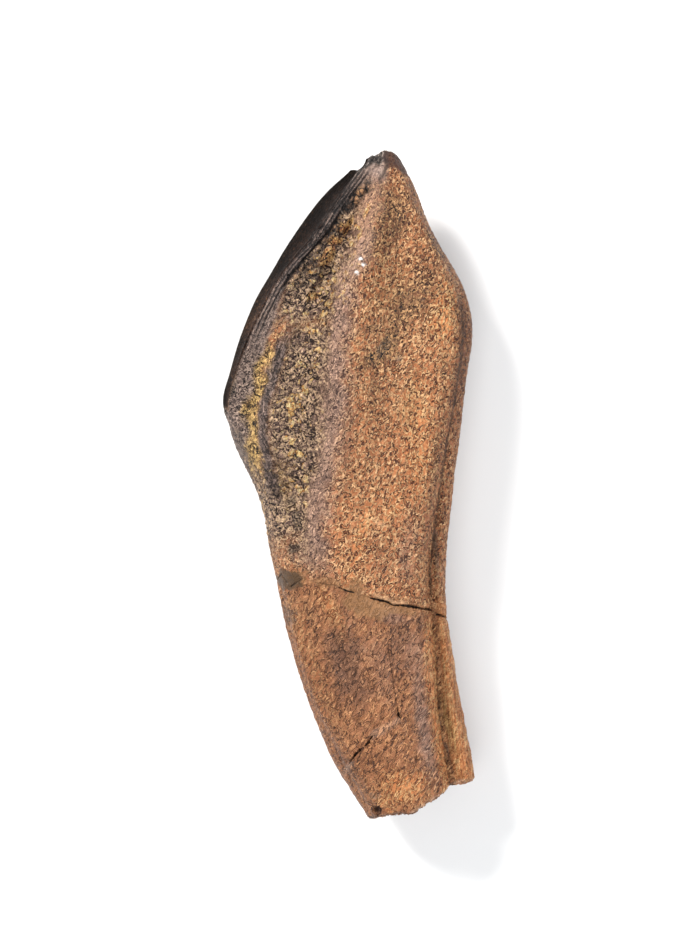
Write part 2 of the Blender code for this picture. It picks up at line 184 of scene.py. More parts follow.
class Workshop:
    """Adds nodes to one tree."""

    def __init__(self, tree):
        self.tree = tree

    def add(self, kind, settings=None, sockets=None, output=0):
        """Adds a node; settings are set first, then its sockets by name or number."""
        node = self.tree.nodes.new(kind)
        for name, value in (settings or {}).items():
            if name == "stops":
                self.set_stops(node.color_ramp, value)
            else:
                setattr(node, name, value)
        for key, value in (sockets or {}).items():
            socket = node.inputs[key]
            if isinstance(value, Wire):
                self.tree.links.new(value.socket, socket)
            else:
                socket.default_value = value
        return Wire(self, node.outputs[output])

    @staticmethod
    def set_stops(ramp, stops):
        """Stops are (place, colour); the ramp starts with two of its own."""
        while len(ramp.elements) < len(stops):
            ramp.elements.new(1.0)
        for element, (place, colour) in zip(ramp.elements, stops):
            element.position, element.color = place, colour

    def vector(self, operation, *values):
        return self.add("ShaderNodeVectorMath", {"operation": operation}, dict(enumerate(values)))

    def scale(self, vector, amount):
        return self.add("ShaderNodeVectorMath", {"operation": "SCALE"}, {0: vector, "Scale": amount})

    def turned(self, vector, angle):
        """Turns a place about the vertical axis."""
        settings = {"rotation_type": "Z_AXIS"}
        return self.add("ShaderNodeVectorRotate", settings, {"Vector": vector, "Angle": angle})

    def mix(self, factor, first, second, blend="MIX"):
        """Mixes two colours."""
        settings = {"data_type": "RGBA", "blend_type": blend, "clamp_factor": True}
        return self.add("ShaderNodeMix", settings, {0: factor, 6: first, 7: second}, output=2)

    def noise(self, where, size, detail=2.0, roughness=0.5, distortion=0.0):
        """Cloudy noise round 0.5, with lumps of about a size in mm, where `where` is in mm."""
        sockets = {
            "Vector": where, "Scale": 1 / size, "Detail": detail,
            "Roughness": roughness, "Distortion": distortion,
        }
        return self.add("ShaderNodeTexNoise", {"noise_dimensions": "3D"}, sockets)

    def cells(self, where, size, output=0, feature="F1"):
        """Voronoi cells of a size in mm: output 0 is a distance in cells, output 1 a cell's colour."""
        sockets = {"Vector": where, "Scale": 1 / size}
        return self.add("ShaderNodeTexVoronoi", {"feature": feature}, sockets, output)

    def y_of(self, where):
        """How far along the tooth a place is."""
        return self.add("ShaderNodeSeparateXYZ", {}, {0: where}, output=1)


print("the wrapped sockets are ready")

# %% [markdown]
# ## A smooth body with fine, even faces
#
# The solid has broad facets, half a millimetre across. Grain needs much smaller faces, and they
# should be even, or the relief comes out stretched. So a copy is smoothed by subdivision, remeshed
# with voxels for even squares, made finer on the upper side, which is seen closest, and wrapped
# back onto the smooth form. The solid itself is never touched.

# %% Turn modifiers into a plain mesh


def baked(ob):
    """A new mesh holding what an object's modifiers make."""
    depsgraph = bpy.context.evaluated_depsgraph_get()
    return bpy.data.meshes.new_from_object(ob.evaluated_get(depsgraph), depsgraph=depsgraph)


def new_object(name, mesh):
    ob = bpy.data.objects.new(name, mesh)
    bpy.context.scene.collection.objects.link(ob)
    return ob


def remake(ob, kind, **settings):
    """Adds one modifier and swaps the object's mesh for what the modifier makes."""
    modifier = ob.modifiers.new(kind.lower(), kind)
    for name, value in settings.items():
        setattr(modifier, name, value)
    mesh = baked(ob)
    ob.modifiers.remove(modifier)
    ob.data = mesh


# %% Smooth the solid's copy
WELD = 0.0005 * MM
QUAD_TURN = math.radians(70)

bm = bmesh.new()
bm.from_mesh(tooth_solid.data)
bmesh.ops.remove_doubles(bm, verts=bm.verts, dist=WELD)
bmesh.ops.join_triangles(
    bm, faces=bm.faces, angle_face_threshold=QUAD_TURN, angle_shape_threshold=math.pi
)
smooth_mesh = bpy.data.meshes.new("smooth_form")
bm.to_mesh(smooth_mesh)
bm.free()
smooth_form = new_object("smooth_form", smooth_mesh)
remake(smooth_form, "SUBSURF", levels=2, render_levels=2)
print("the smooth form has", len(smooth_form.data.polygons), "faces")

# %% Even faces, wrapped onto it
FACE_SIZE = 0.28 * MM
FINE_ABOVE_Z = 4.3

tooth = new_object("fossil_tooth", smooth_form.data.copy())
remake(tooth, "REMESH", mode="VOXEL", voxel_size=FACE_SIZE)
print("after the remesh it has", len(tooth.data.polygons), "faces")


def split_where(ob, chosen):
    """Splits the edges whose two ends are both chosen; chosen takes positions in mm."""
    mesh_bm = bmesh.new()
    mesh_bm.from_mesh(ob.data)
    places = np.array([v.co for v in mesh_bm.verts]) / MM
    inside = chosen(places)
    edges = [e for e in mesh_bm.edges if inside[e.verts[0].index] and inside[e.verts[1].index]]
    bmesh.ops.subdivide_edges(mesh_bm, edges=edges, cuts=1, use_grid_fill=True)
    mesh_bm.to_mesh(ob.data)
    mesh_bm.free()


def is_upper(places):
    return places[:, 2] > FINE_ABOVE_Z


split_where(tooth, is_upper)
remake(tooth, "SHRINKWRAP", target=smooth_form, wrap_method="NEAREST_SURFACEPOINT")
print("with a finer upper side it has", len(tooth.data.polygons), "faces")

# %% [markdown]
# ## Guides: where the ridges, grooves, cracks and stains run
#
# Everything that is painted or carved later needs to know where it is on the tooth. A few named
# lines, read from tip to root, say it all: the enamel's edges, the groove behind them, the long
# middle ridge, the cheek side's ridge and groove. Cracks are lines with a width and a depth, and
# stains are soft ovals.

# %% Long lines, as (y, x), and the enamel's two edges, as (y, x, z)
UPPER_ENAMEL_EDGE = [
    (24.6, 1.4, 6.2), (23.4, 0.6, 7.1), (21.2, -0.9, 8.4), (18.1, -3.0, 9.3), (16.1, -4.8, 9.4),
    (11.8, -7.2, 8.9), (8.6, -8.5, 7.7), (5.9, -9.1, 6.4), (2.4, -7.6, 6.6), (-0.2, -6.4, 6.7),
    (-3.2, -5.9, 6.6), (-7.6, -4.9, 6.2), (-12.5, -3.9, 5.8), (-17.0, -2.2, 5.6), (-24.8, 1.9, 4.6),
]
LOWER_ENAMEL_EDGE = [
    (24.4, 1.3, 4.5), (23.4, 0.2, 3.9), (21.9, -1.5, 2.9), (19.8, -3.4, 1.9), (16.8, -5.3, 1.2),
    (13.8, -6.9, 1.1), (10.9, -8.2, 1.6), (8.8, -8.9, 2.4), (6.1, -9.4, 3.9), (3.5, -8.6, 3.5),
    (0.9, -7.2, 2.7), (-3.2, -5.9, 2.2), (-8.0, -4.9, 2.3), (-14.3, -3.4, 2.4), (-24.9, 1.8, 2.8),
]
GROOVE = [
    (24.6, 1.9), (22.8, 1.3), (20.8, 0.1), (17.5, -1.9), (13.2, -4.5), (8.9, -6.3), (4.7, -7.2),
    (0.7, -6.6), (-3.9, -5.4), (-8.4, -4.4), (-14.3, -2.9), (-19.7, -0.7), (-24.7, 2.1),
]
MIDDLE_RIDGE = [
    (24.9, 2.7), (22.2, 1.7), (19.0, 1.3), (16.4, 0.5), (13.6, -0.3), (8.8, -0.8), (5.4, -1.0),
    (2.0, -1.5), (-1.7, -2.1), (-4.3, -2.2), (-8.0, -1.1), (-11.7, 0.4), (-15.1, 1.6),
    (-19.6, 3.0), (-24.1, 4.5),
]
CHEEK_RIDGE = [
    (24.9, 3.3), (22.9, 4.0), (18.8, 5.7), (15.1, 7.5), (12.5, 8.1), (8.0, 7.7), (3.1, 6.8),
    (-1.7, 6.0), (-6.9, 5.5), (-12.9, 6.0), (-16.6, 6.3), (-22.3, 7.0),
]
CHEEK_GROOVE = [
    (24.85, 3.4), (22.8, 4.2), (18.7, 6.0), (15.0, 7.8), (12.1, 8.4), (8.0, 8.0), (3.1, 7.2),
    (-1.7, 6.5), (-6.9, 6.0), (-12.9, 6.5), (-16.6, 6.7), (-22.0, 7.5),
]


def along(line, y):
    """A smooth curve through a line's points, read at each height y."""
    points = np.array(line, dtype=float)[::-1]
    places, values = points[:, 0], points[:, 1:]
    gaps = np.diff(places)[:, None]
    rises = np.diff(values, axis=0) / gaps
    slopes = np.concatenate((rises[:1], rises, rises[-1:]))
    slopes = (slopes[:-1] + slopes[1:]) / 2
    y = np.clip(y, places[0], places[-1])
    index = np.clip(np.searchsorted(places, y) - 1, 0, len(gaps) - 1)
    gap = gaps[index]
    share = ((y - places[index]) / gap[:, 0])[:, None]
    first, second = values[index], values[index + 1]
    bend = (
        first * (2 * share**3 - 3 * share**2 + 1)
        + slopes[index] * gap * (share**3 - 2 * share**2 + share)
        + second * (3 * share**2 - 2 * share**3)
        + slopes[index + 1] * gap * (share**3 - share**2)
    )
    return bend[:, 0] if bend.shape[1] == 1 else bend


def rise(value, low, high):
    """The smooth step that the shaders' rise makes, on numbers."""
    share = np.clip((value - low) / (high - low), 0, 1)
    return share * share * (3 - 2 * share)


print("at y = 20 the groove is at x =", round(float(along(GROOVE, np.array([20.0]))[0]), 2))

# %% Cracks on the upper side, as (x, y, half width, depth)
CRACKS = {
    "mended_break": [
        (-5.40, -6.82, 0.03, 0.05), (-5.10, -6.42, 0.05, 0.12), (-4.43, -7.34, 0.05, 0.12),
        (-3.50, -6.70, 0.02, 0.01), (-2.55, -6.99, 0.02, 0.03), (-1.74, -7.10, 0.02, 0.05),
        (-1.06, -7.21, 0.02, 0.05), (-0.60, -7.45, 0.06, 0.14), (-0.15, -7.62, 0.08, 0.22),
        (0.25, -7.70, 0.07, 0.20), (0.38, -7.74, 0.02, 0.02), (1.45, -8.08, 0.02, 0.02),
        (1.57, -8.13, 0.07, 0.20), (2.13, -8.26, 0.12, 0.35), (2.70, -8.41, 0.12, 0.35),
        (3.16, -8.64, 0.09, 0.30), (3.79, -8.67, 0.09, 0.30), (4.53, -8.76, 0.12, 0.35),
        (5.22, -8.90, 0.11, 0.35), (5.95, -9.04, 0.15, 0.40), (6.15, -9.08, 0.03, 0.05),
        (6.38, -9.36, 0.03, 0.05), (6.46, -9.42, 0.10, 0.45), (6.70, -9.51, 0.12, 0.45),
        (7.27, -9.63, 0.10, 0.45), (7.60, -9.72, 0.09, 0.40),
    ],
    "long_crack": [
        (2.70, -11.1, 0.02, 0.03), (2.88, -12.1, 0.03, 0.07), (2.99, -13.0, 0.035, 0.09),
        (3.15, -13.9, 0.035, 0.09), (3.30, -15.0, 0.03, 0.06), (3.46, -15.9, 0.02, 0.04),
        (3.55, -16.5, 0.05, 0.15), (3.62, -16.8, 0.11, 0.45), (3.78, -17.05, 0.03, 0.1),
    ],
    "slanting_crack": [
        (3.46, -17.45, 0.03, 0.02), (2.10, -18.08, 0.03, 0.02), (1.66, -18.33, 0.04, 0.04),
        (1.58, -18.40, 0.12, 0.45), (1.35, -18.80, 0.17, 0.50), (1.20, -19.02, 0.08, 0.30),
        (1.08, -19.12, 0.03, 0.03), (0.86, -19.34, 0.04, 0.05), (0.76, -19.42, 0.14, 0.50),
        (0.40, -19.76, 0.19, 0.50), (0.22, -19.95, 0.06, 0.25), (0.16, -20.05, 0.09, 0.30),
        (0.02, -20.30, 0.08, 0.25), (-0.10, -20.50, 0.03, 0.04), (-0.27, -20.83, 0.03, 0.04),
        (-0.56, -21.60, 0.03, 0.05),
    ],
}
for crack_name, crack in CRACKS.items():
    steps = np.diff(np.array(crack)[:, :2], axis=0)
    print(crack_name, "is", round(float(np.hypot(*steps.T).sum()), 1), "mm long")

# %% The break's line, and how it goes on round the tooth
BREAK_LINE = [(-9.0, -6.6), *(point[:2] for point in CRACKS["mended_break"]), (9.5, -10.1)]
BREAK_TILT = -0.05  # how much y the break loses towards the far side, for each mm of thickness
UPPER_SIDE_Z = 8.0


def break_height(places):
    """The height y at which the break crosses a line along the tooth, at each place's x and z."""
    on_upper_side = np.interp(places[:, 0], *np.array(BREAK_LINE).T)
    return on_upper_side + BREAK_TILT * (UPPER_SIDE_Z - places[:, 2])


def near_line(line, places):
    """For each place: its distance in plan to a line, and where on the line that is, in points."""
    points = np.array(line)[:, :2]
    best, spot = np.full(len(places), 1e9), np.zeros(len(places))
    for i, (first, second) in enumerate(zip(points[:-1], points[1:])):
        way = second - first
        share = np.clip((places[:, :2] - first) @ way / (way @ way), 0, 1)
        gap = np.linalg.norm(places[:, :2] - first - share[:, None] * way, axis=1)
        closer = gap < best
        best[closer], spot[closer] = gap[closer], i + share[closer]
    return best, spot


# %% [markdown]
# ## Close the solid's wide groove, and split faces where the cracks go
#
# The solid marks the break with a groove that is easy to see but wider than the real crack. Here
# the surface next to it is relaxed, as a stretched skin would be, until the groove is gone. Then
# the faces along every crack are split twice, so that a crack a tenth of a millimetre wide can be
# cut as real shape.

# %% Relax the groove


def edges_of(mesh):
    pairs = np.empty(len(mesh.edges) * 2, dtype=np.int64)
    mesh.edges.foreach_get("vertices", pairs)
    return pairs.reshape(-1, 2)


def positions(mesh):
    """Every vertex's place, in mm."""
    values = np.empty(len(mesh.vertices) * 3)
    mesh.vertices.foreach_get("co", values)
    return values.reshape(-1, 3) / MM


def set_positions(mesh, places):
    mesh.vertices.foreach_set("co", (places * MM).ravel())
    mesh.update()


def normals_of(mesh):
    values = np.empty(len(mesh.vertices) * 3)
    mesh.vertices.foreach_get("normal", values)
    return values.reshape(-1, 3)


def relaxed(values, pairs, rounds, share):
    """Moves each vertex's values towards its neighbours' mean; share says how much, for each."""
    count = len(values)
    degree = np.bincount(pairs.ravel(), minlength=count)[:, None]
    for _ in range(rounds):
        mean = np.empty_like(values)
        for k in range(values.shape[1]):
            one = np.bincount(pairs[:, 0], values[pairs[:, 1], k], count)
            other = np.bincount(pairs[:, 1], values[pairs[:, 0], k], count)
            mean[:, k] = one + other
        values = values + (mean / degree - values) * share
    return values


GROOVE_REACH = 0.42
GROOVE_CORE = 0.252  # within this of the break, the skin is relaxed in full
GROOVE_ROUNDS = 60
GROOVE_SHARE = 0.5

skin = positions(tooth.data)
gap = np.abs(skin[:, 1] - break_height(skin))
share = GROOVE_SHARE * rise(gap, GROOVE_REACH, GROOVE_CORE)[:, None]
set_positions(tooth.data, relaxed(skin, edges_of(tooth.data), GROOVE_ROUNDS, share))
print("relaxed", int((share > 0).sum()), "vertices along the break")

# %% Split the faces near cracks
CRACK_REACHES = (0.3, 0.17)


def beside_a_crack(reach):
    def chosen(places):
        upper = places[:, 2] > FINE_ABOVE_Z
        near = np.abs(places[:, 1] - break_height(places)) < reach
        for line in CRACKS.values():
            near |= upper & (near_line(line, places)[0] < reach)
        return near

    return chosen


for reach in CRACK_REACHES:
    split_where(tooth, beside_a_crack(reach))
    print("split to", len(tooth.data.polygons), "faces within", reach, "mm of the cracks")

# %% [markdown]
# ## Masks: which finish goes where
#
# A mask is a number from 0 to 1 at each vertex, kept in the mesh as an attribute, which both the
# relief and the colours can read. They are worked out from the guides, on both sides of the tooth,
# with a little wandering so that no border is a ruled line. Fossil colours run into each other, so
# most masks rise slowly, over a millimetre or more.

# %% Sides and borders
SIDE_BORDER = (3.9, 4.9)  # the heights z between which the lower side turns into the upper one
CROWN_BASE = 5.9  # the enamel starts at this y
BASE_SOFTNESS = 0.25
ENAMEL_STAND = (-1.1, -0.9)  # how far inside the plane of its two edges the enamel may lie
ENAMEL_EDGE = (-0.1, 0.06)
MARGIN_TURN = (0.3, 0.5)  # beside its edges, enamel is only where the surface faces out this much
MARGIN_WIDTH = (0.5, 0.9)
CARINA_WIDTH = (0.22, 0.06)  # half widths of the middle ridge, as shares of the face's width

skin = positions(tooth.data)
facing = normals_of(tooth.data)
x, y, z = skin.T
upper = rise(z, *SIDE_BORDER)
lower = 1 - upper


def wander(places, size, amount, shift):
    """A cloudy offset for each place, to make a border stray."""
    push = Vector((shift, shift * 2, -shift))
    return amount * np.array([noise.noise(Vector(p) / size + push) for p in places])


broad_stray = wander(skin, 1.6, 1.0, 11.0)
fine_stray = wander(skin, 0.4, 1.0, 4.0)
stray = 0.35 * broad_stray + 0.14 * fine_stray


def fade(distance, none, full, raggedness=0.0):
    """A rise whose border strays from its line."""
    return rise(distance + stray * raggedness, none, full)


upper_edge, lower_edge = along(UPPER_ENAMEL_EDGE, y), along(LOWER_ENAMEL_EDGE, y)
across = lower_edge - upper_edge
width = np.linalg.norm(across, axis=1)
across /= width[:, None]
outwards = np.stack((across[:, 1], -across[:, 0]), axis=1)
outwards *= -np.sign(outwards[:, :1])
offset = skin[:, (0, 2)] - upper_edge
travel = (offset * across).sum(axis=1)
stand = (offset * outwards).sum(axis=1)
faces_out = (facing[:, (0, 2)] * outwards).sum(axis=1)
inside_edges = rise(travel, *ENAMEL_EDGE) * rise(width - travel, *ENAMEL_EDGE)
away_from_edges = rise(np.minimum(travel, width - travel), *MARGIN_WIDTH)
enamel = rise(stand, *ENAMEL_STAND) * inside_edges
enamel *= np.maximum(rise(faces_out, *MARGIN_TURN), away_from_edges)
enamel *= fade(y, CROWN_BASE - BASE_SOFTNESS, CROWN_BASE + BASE_SOFTNESS, 0.6)
carina = rise(np.abs(travel / width - 0.5), *CARINA_WIDTH) * enamel
print("enamel covers", round(float(enamel.mean()), 2), "of the vertices")

# %% Bands that follow the long lines
# Every fade gives the distance from a line, or the y, at which a mask is none and is full, and how
# ragged its border is.
past_edge = np.where(upper > 0.5, x - upper_edge[:, 0], x - lower_edge[:, 0])
past_groove = x - along(GROOVE, y)
past_ridge = x - along(MIDDLE_RIDGE, y)
past_cheek = x - along(CHEEK_RIDGE, y)
past_cheek_groove = x - along(CHEEK_GROOVE, y)
not_enamel = 1 - enamel
root = 1 - fade(y - break_height(skin), -0.6, 0.9, 1.2)


def band(distance, start, end, soft, raggedness):
    """1 between start and end across a line, with a soft border to each side."""
    starts = fade(distance, start - soft, start + soft, raggedness)
    return starts * fade(distance, end + soft, end - soft, raggedness)


rim_width = 0.75 + 0.9 * fade(y, 16.0, 11.0)
rim = fade(past_edge, rim_width + 0.25, rim_width - 0.3, 0.5)
rim *= fade(y, 6.0, 9.5, 2.0) * fade(y, 24.2, 23.0)
layered = fade(past_edge, 1.1, 0.8, 0.4) * fade(y, 9.0, 13.0, 1.0) * fade(y, 24.0, 23.0)
left = fade(past_ridge, 0.5, -1.4, 2.0) * fade(y, -8.5, -2.5, 3.0) * not_enamel
in_pocket = fade(y, 11.0, 13.0, 1.0) * fade(past_edge, rim_width - 0.2, rim_width + 0.3, 0.5)
beside_band = fade(y, 13.0, 11.0, 1.0) * fade(past_groove, 0.9, 1.6, 1.0)
below_band = fade(y, 2.6, 0.2, 2.0)
hollow = fade(past_ridge, -0.3, -1.5, 1.5) * np.maximum.reduce((in_pocket, beside_band, below_band))
hollow *= fade(y, -6.6, -2.5, 3.0) * fade(y, 23.4, 22.0) * not_enamel
ridge = band(past_ridge, -1.35, 0.55, 0.75, 1.8) * fade(y, -8.0, -4.0, 3.0) * fade(y, 24.6, 23.6)
ridge *= 1 - 0.4 * fade(y, 16.5, 19.5, 2.0)
side_band = band(past_groove, 0.25, 1.3, 0.25, 0.8) * fade(y, -2.5, 1.0) * fade(y, 13.5, 10.0)
ochre = band(past_groove, -0.55, 0.3, 0.3, 1.6) * fade(y, -0.5, 2.4, 3.0)
ochre *= fade(y, 11.6, 9.2, 2.0) * not_enamel
edge_dark = fade(past_groove, 0.0, -0.6, 1.5) * fade(y, -1.5, 1.5) * fade(y, 11.5, 8.5) * not_enamel
# Painted shade: the cheek side past its ridge is darkened in colour, most on the crown's upper part.
cheek = fade(past_cheek, -0.7, 0.5, 0.6) * (0.35 + 0.65 * fade(y, 1.0, 7.0) * fade(y, 15.5, 12.0))
cheek *= 0.2 + 0.8 * fade(y, -11.0, -7.0)
# Painted shade along the bottom of the cheek side's groove.
cheek_groove = rise(np.abs(past_cheek_groove + stray * 0.3), 0.5, 0.0) * fade(y, 17.0, 14.0)
cheek_groove *= 0.75 + 0.25 * fade(y, 3.0, -1.0, 4.0)
# Painted light: the strip beside the root's cheek groove is made lighter in colour where the groove is
# in shade.
groove_painted_light = rise(np.abs(past_cheek_groove + 0.35), 0.6, 0.15) * fade(y, -8.0, -11.0) * upper
rib = fade(past_cheek_groove, 0.15, 0.5, 0.3) * fade(y, -6.5, -10.0, 1.0)
margin_gap = np.exp(-(((past_edge - 0.85 + stray * 0.6) / 0.1) ** 2)) * fade(y, 13.5, 15.0, 3.0)
margin_gap *= fade(y, 22.6, 21.6) * not_enamel
print("hollow", round(float(hollow.mean()), 2), "ridge", round(float(ridge.mean()), 2))

# %% Fine lines, the broken root end and the worn tip
BREAK_LIP = [(1.9, -8.0), (2.6, -8.2), (3.2, -8.45), (4.2, -8.52)]
SCRATCH = [(1.7, -2.4), (2.3, -2.7), (3.1, -2.9)]
HEALED_CRACK = [(0.05, -20.4), (-0.35, -21.1), (-0.6, -22.1)]
FAINT_CRACK = [(3.6, -17.2), (2.5, -17.8), (1.7, -18.3)]
TIP_CONTOUR = [(2.55, 24.4), (2.75, 23.9), (2.5, 23.2), (2.15, 22.7)]
TIP_LINE = [(-0.4, 22.9), (0.5, 23.6), (1.6, 24.6), (2.6, 24.95), (3.6, 24.8)]
ROOT_END_LINE = [(1.3, -24.95), (4.1, -24.45), (6.7, -22.95), (8.2, -22.05), (9.6, -21.9)]


def drawn(line, none, full, raggedness):
    """1 on a line on the upper side, 0 from none mm away."""
    return rise(near_line(line, skin)[0] + fine_stray * raggedness, none, full) * upper


def above(line):
    """How much higher each place's y is than a line's."""
    return y - np.interp(x, *np.array(line).T)


lip = rise(np.abs(above(BREAK_LIP) + fine_stray * 0.08 - 0.03), 0.2, 0.05)
lip *= rise(x, 1.7, 2.0) * rise(x, 4.4, 3.9) * upper
lip = np.maximum(lip, 0.8 * drawn(SCRATCH, 0.13, 0.03, 0.07))
healed = np.maximum(drawn(HEALED_CRACK, 0.3, 0.05, 0.08), 0.6 * drawn(FAINT_CRACK, 0.4, 0.1, 0.2))
fracture = rise(-facing[:, 1], 0.45, 0.7) * fade(y, -20.5, -21.3)
pale = fade(above(ROOT_END_LINE), 0.34, 0.04, 0.5) * (1 - fracture)
tip_edge = fade(above(TIP_LINE), -0.85, -0.45, 1.2) * rise(x, 2.9, 2.5) * not_enamel
tip_brown = fade(y + (x - 3.0) * 0.5, 23.75, 24.0, 0.5) * fade(x, 2.5, 2.75, 1.0)
tip_contour = drawn(TIP_CONTOUR, 0.22, 0.04, 0.1)
tip_smooth = fade(y, 22.0, 23.4, 1.0) * rise(x, 3.1, 2.3) * not_enamel
print("the fracture has", int((fracture > 0.5).sum()), "vertices")

# %% [markdown]
# ## Washes, patches and specks
#
# Minerals soaked into this tooth unevenly. Each wash is a soft oval of one finish, and a patch is
# one with a ragged, harder border, such as the crust in the crown's pocket or the mender's filler.
# The umber washes are painted shade, where the sides face away from the light, and the dirt washes
# are partly real dirt and partly painted shade.

# %% Ovals, as (x, y, half length, half width, turn in degrees, strength)
UPPER_WASHES = {
    # Dirt washes: partly real dirt, partly painted shade, such as the thin ovals left of the cheek
    # groove.
    "dirt": [
        (4.3, 13.4, 4.2, 1.5, 50, 0.85), (2.0, 9.6, 1.7, 0.7, 25, 1.0),
        (1.5, 11.7, 0.7, 0.4, 20, 0.9), (2.9, 10.9, 2.2, 0.9, 50, 1.0),
        (1.8, 6.4, 2.2, 0.6, 82, 0.45), (6.5, 17.7, 1.7, 0.5, -60, 0.7),
        (2.9, 19.6, 3.2, 1.3, 70, 0.95), (0.3, 0.9, 1.6, 0.5, 75, 0.3),
        (5.0, -1.2, 2.4, 0.6, 85, 0.25), (-2.6, -1.9, 1.2, 0.8, -75, 0.6),
        (-2.9, -9.6, 1.6, 0.8, -70, 0.35), (-4.6, -8.5, 0.9, 0.6, -70, 0.7),
        (1.6, 3.0, 2.0, 0.4, 80, 0.35), (6.9, 8.4, 4.0, 0.35, 88, 0.5),
        (6.3, 1.5, 4.0, 0.35, 86, 0.5),
    ],
    "purple": [
        (-0.2, -12.8, 4.3, 1.4, -79, 1.0), (-0.7, -11.0, 2.4, 0.9, -80, 0.9),
        (2.6, -4.9, 2.4, 0.9, 82, 0.45), (4.1, -5.4, 2.2, 0.7, -78, 0.5),
        (3.7, -11.2, 2.8, 1.4, -80, 0.4), (-0.2, 4.0, 5.0, 0.7, 84, 0.45),
        (-2.9, -4.4, 2.2, 1.2, 70, 0.6), (5.3, -9.9, 1.0, 0.8, 0, 0.4),
        (5.9, -19.4, 1.4, 0.4, -80, 0.5),
    ],
    "chalk": [
        (5.4, -17.4, 5.4, 0.75, -81, 0.95), (4.9, -12.2, 2.4, 0.9, -80, 0.5),
        (3.2, -9.6, 1.4, 0.5, -15, 0.6), (2.3, -13.0, 3.0, 1.3, -75, 0.3),
        (4.2, -4.0, 3.0, 1.2, 80, 0.4), (-2.0, 9.0, 3.0, 0.4, 70, 0.4),
    ],
    "orange": [
        (7.1, 12.6, 2.9, 1.2, 85, 0.95), (5.2, 3.0, 5.0, 1.2, 86, 0.5),
        (3.2, -2.6, 4.4, 1.1, 82, 0.4), (-2.9, -13.0, 5.4, 0.9, -70, 0.6),
        (-1.2, -9.3, 2.2, 0.7, -65, 0.7), (0.7, -4.0, 3.6, 0.5, 72, 0.55),
        (4.0, -22.4, 2.4, 1.6, 15, 0.75), (2.2, 20.6, 1.8, 0.6, 80, 0.35),
        # The last oval, along the root's groove, is painted light there.
        (2.4, 17.4, 4.4, 0.7, 80, 0.3), (6.0, -14.2, 7.5, 0.45, -85, 0.8),
    ],
    # Umber washes: painted shade on the root's left side and on the cheek edge, which face away from
    # the light.
    "umber": [
        (-2.3, -14.0, 6.5, 1.6, -68, 0.6), (-0.4, -12.2, 4.6, 1.2, -71, 0.5),
        (-4.6, -10.0, 2.2, 0.6, -72, 0.6), (0.2, -20.8, 3.0, 0.8, -62, 0.6),
        (8.5, 12.0, 5.0, 0.6, 88, 0.5), (6.2, -3.6, 4.5, 0.5, -87, 0.3),
    ],
    "olive": [
        (7.3, -17.4, 3.2, 0.4, -75, 0.8), (-4.9, 0.6, 2.6, 0.7, -75, 0.4),
        (3.0, 14.6, 3.0, 1.1, 60, 0.2), (4.4, 6.2, 2.4, 0.8, 80, 0.3),
    ],
    "cream": [
        (-1.2, 14.4, 4.0, 1.2, 62, 0.8), (-3.4, 7.4, 3.6, 1.2, 75, 0.75),
        (0.3, 18.6, 1.4, 0.6, 62, 1.0), (-3.9, 1.2, 2.8, 0.8, -80, 0.7),
        (-2.6, 15.0, 1.6, 0.6, 52, 0.5), (1.2, 20.5, 1.0, 0.35, 60, 0.9),
        (-5.0, 11.4, 2.0, 0.6, 60, 0.5),
    ],
}
UPPER_PATCHES = {
    "knobs": [
        (0.55, 21.5, 1.5, 0.42, 47, 1.0), (-1.7, 18.9, 2.0, 0.55, 52, 0.8),
        (-3.4, 15.9, 1.2, 0.5, 50, 0.5),
    ],
    "black": [
        (0.5, 21.4, 1.7, 0.5, 48, 0.8), (-1.6, 18.2, 2.4, 0.6, 54, 0.5),
        (-2.7, 15.9, 1.5, 0.5, 50, 0.5), (2.4, 10.4, 0.6, 0.25, 50, 0.5),
        (-4.1, -4.55, 0.5, 0.36, 10, 0.85), (-3.9, 2.4, 0.6, 0.3, -60, 0.5),
        (-3.0, 4.4, 0.8, 0.25, -65, 0.35), (-4.3, -0.9, 0.45, 0.3, 60, 0.6),
        (-3.95, -2.3, 0.6, 0.3, -75, 0.8), (-9.0, 7.2, 1.6, 0.4, 70, 0.75),
        (-7.9, 2.9, 1.8, 0.3, -68, 0.5), (3.6, 9.5, 0.4, 0.2, 30, 0.5),
        (-4.5, -9.4, 0.7, 0.4, -70, 0.5), (1.9, -22.8, 0.3, 0.25, 0, 0.45),
        (7.35, -19.8, 1.8, 0.14, -76, 0.6), (6.4, -4.6, 2.2, 0.15, -86, 0.55),
    ],
    "golden": [
        (-0.35, 19.3, 0.9, 0.45, 60, 0.9), (-1.05, 18.1, 0.6, 0.45, 10, 1.0),
        (-1.5, 17.2, 0.8, 0.4, 60, 0.9), (-2.6, 14.1, 0.7, 0.35, 10, 0.9),
    ],
    "old_filler": [(-4.85, -6.8, 1.05, 0.75, -20, 0.9)],
    "filler": [
        (-3.9, -6.6, 0.8, 0.5, 10, 0.6), (0.9, -8.65, 1.5, 0.8, -28, 0.8),
        (0.55, -7.35, 0.8, 0.5, -20, 0.7), (3.4, -8.95, 1.6, 0.32, -12, 0.7),
        (-1.7, -6.95, 1.3, 0.3, -8, 0.5),
    ],
}
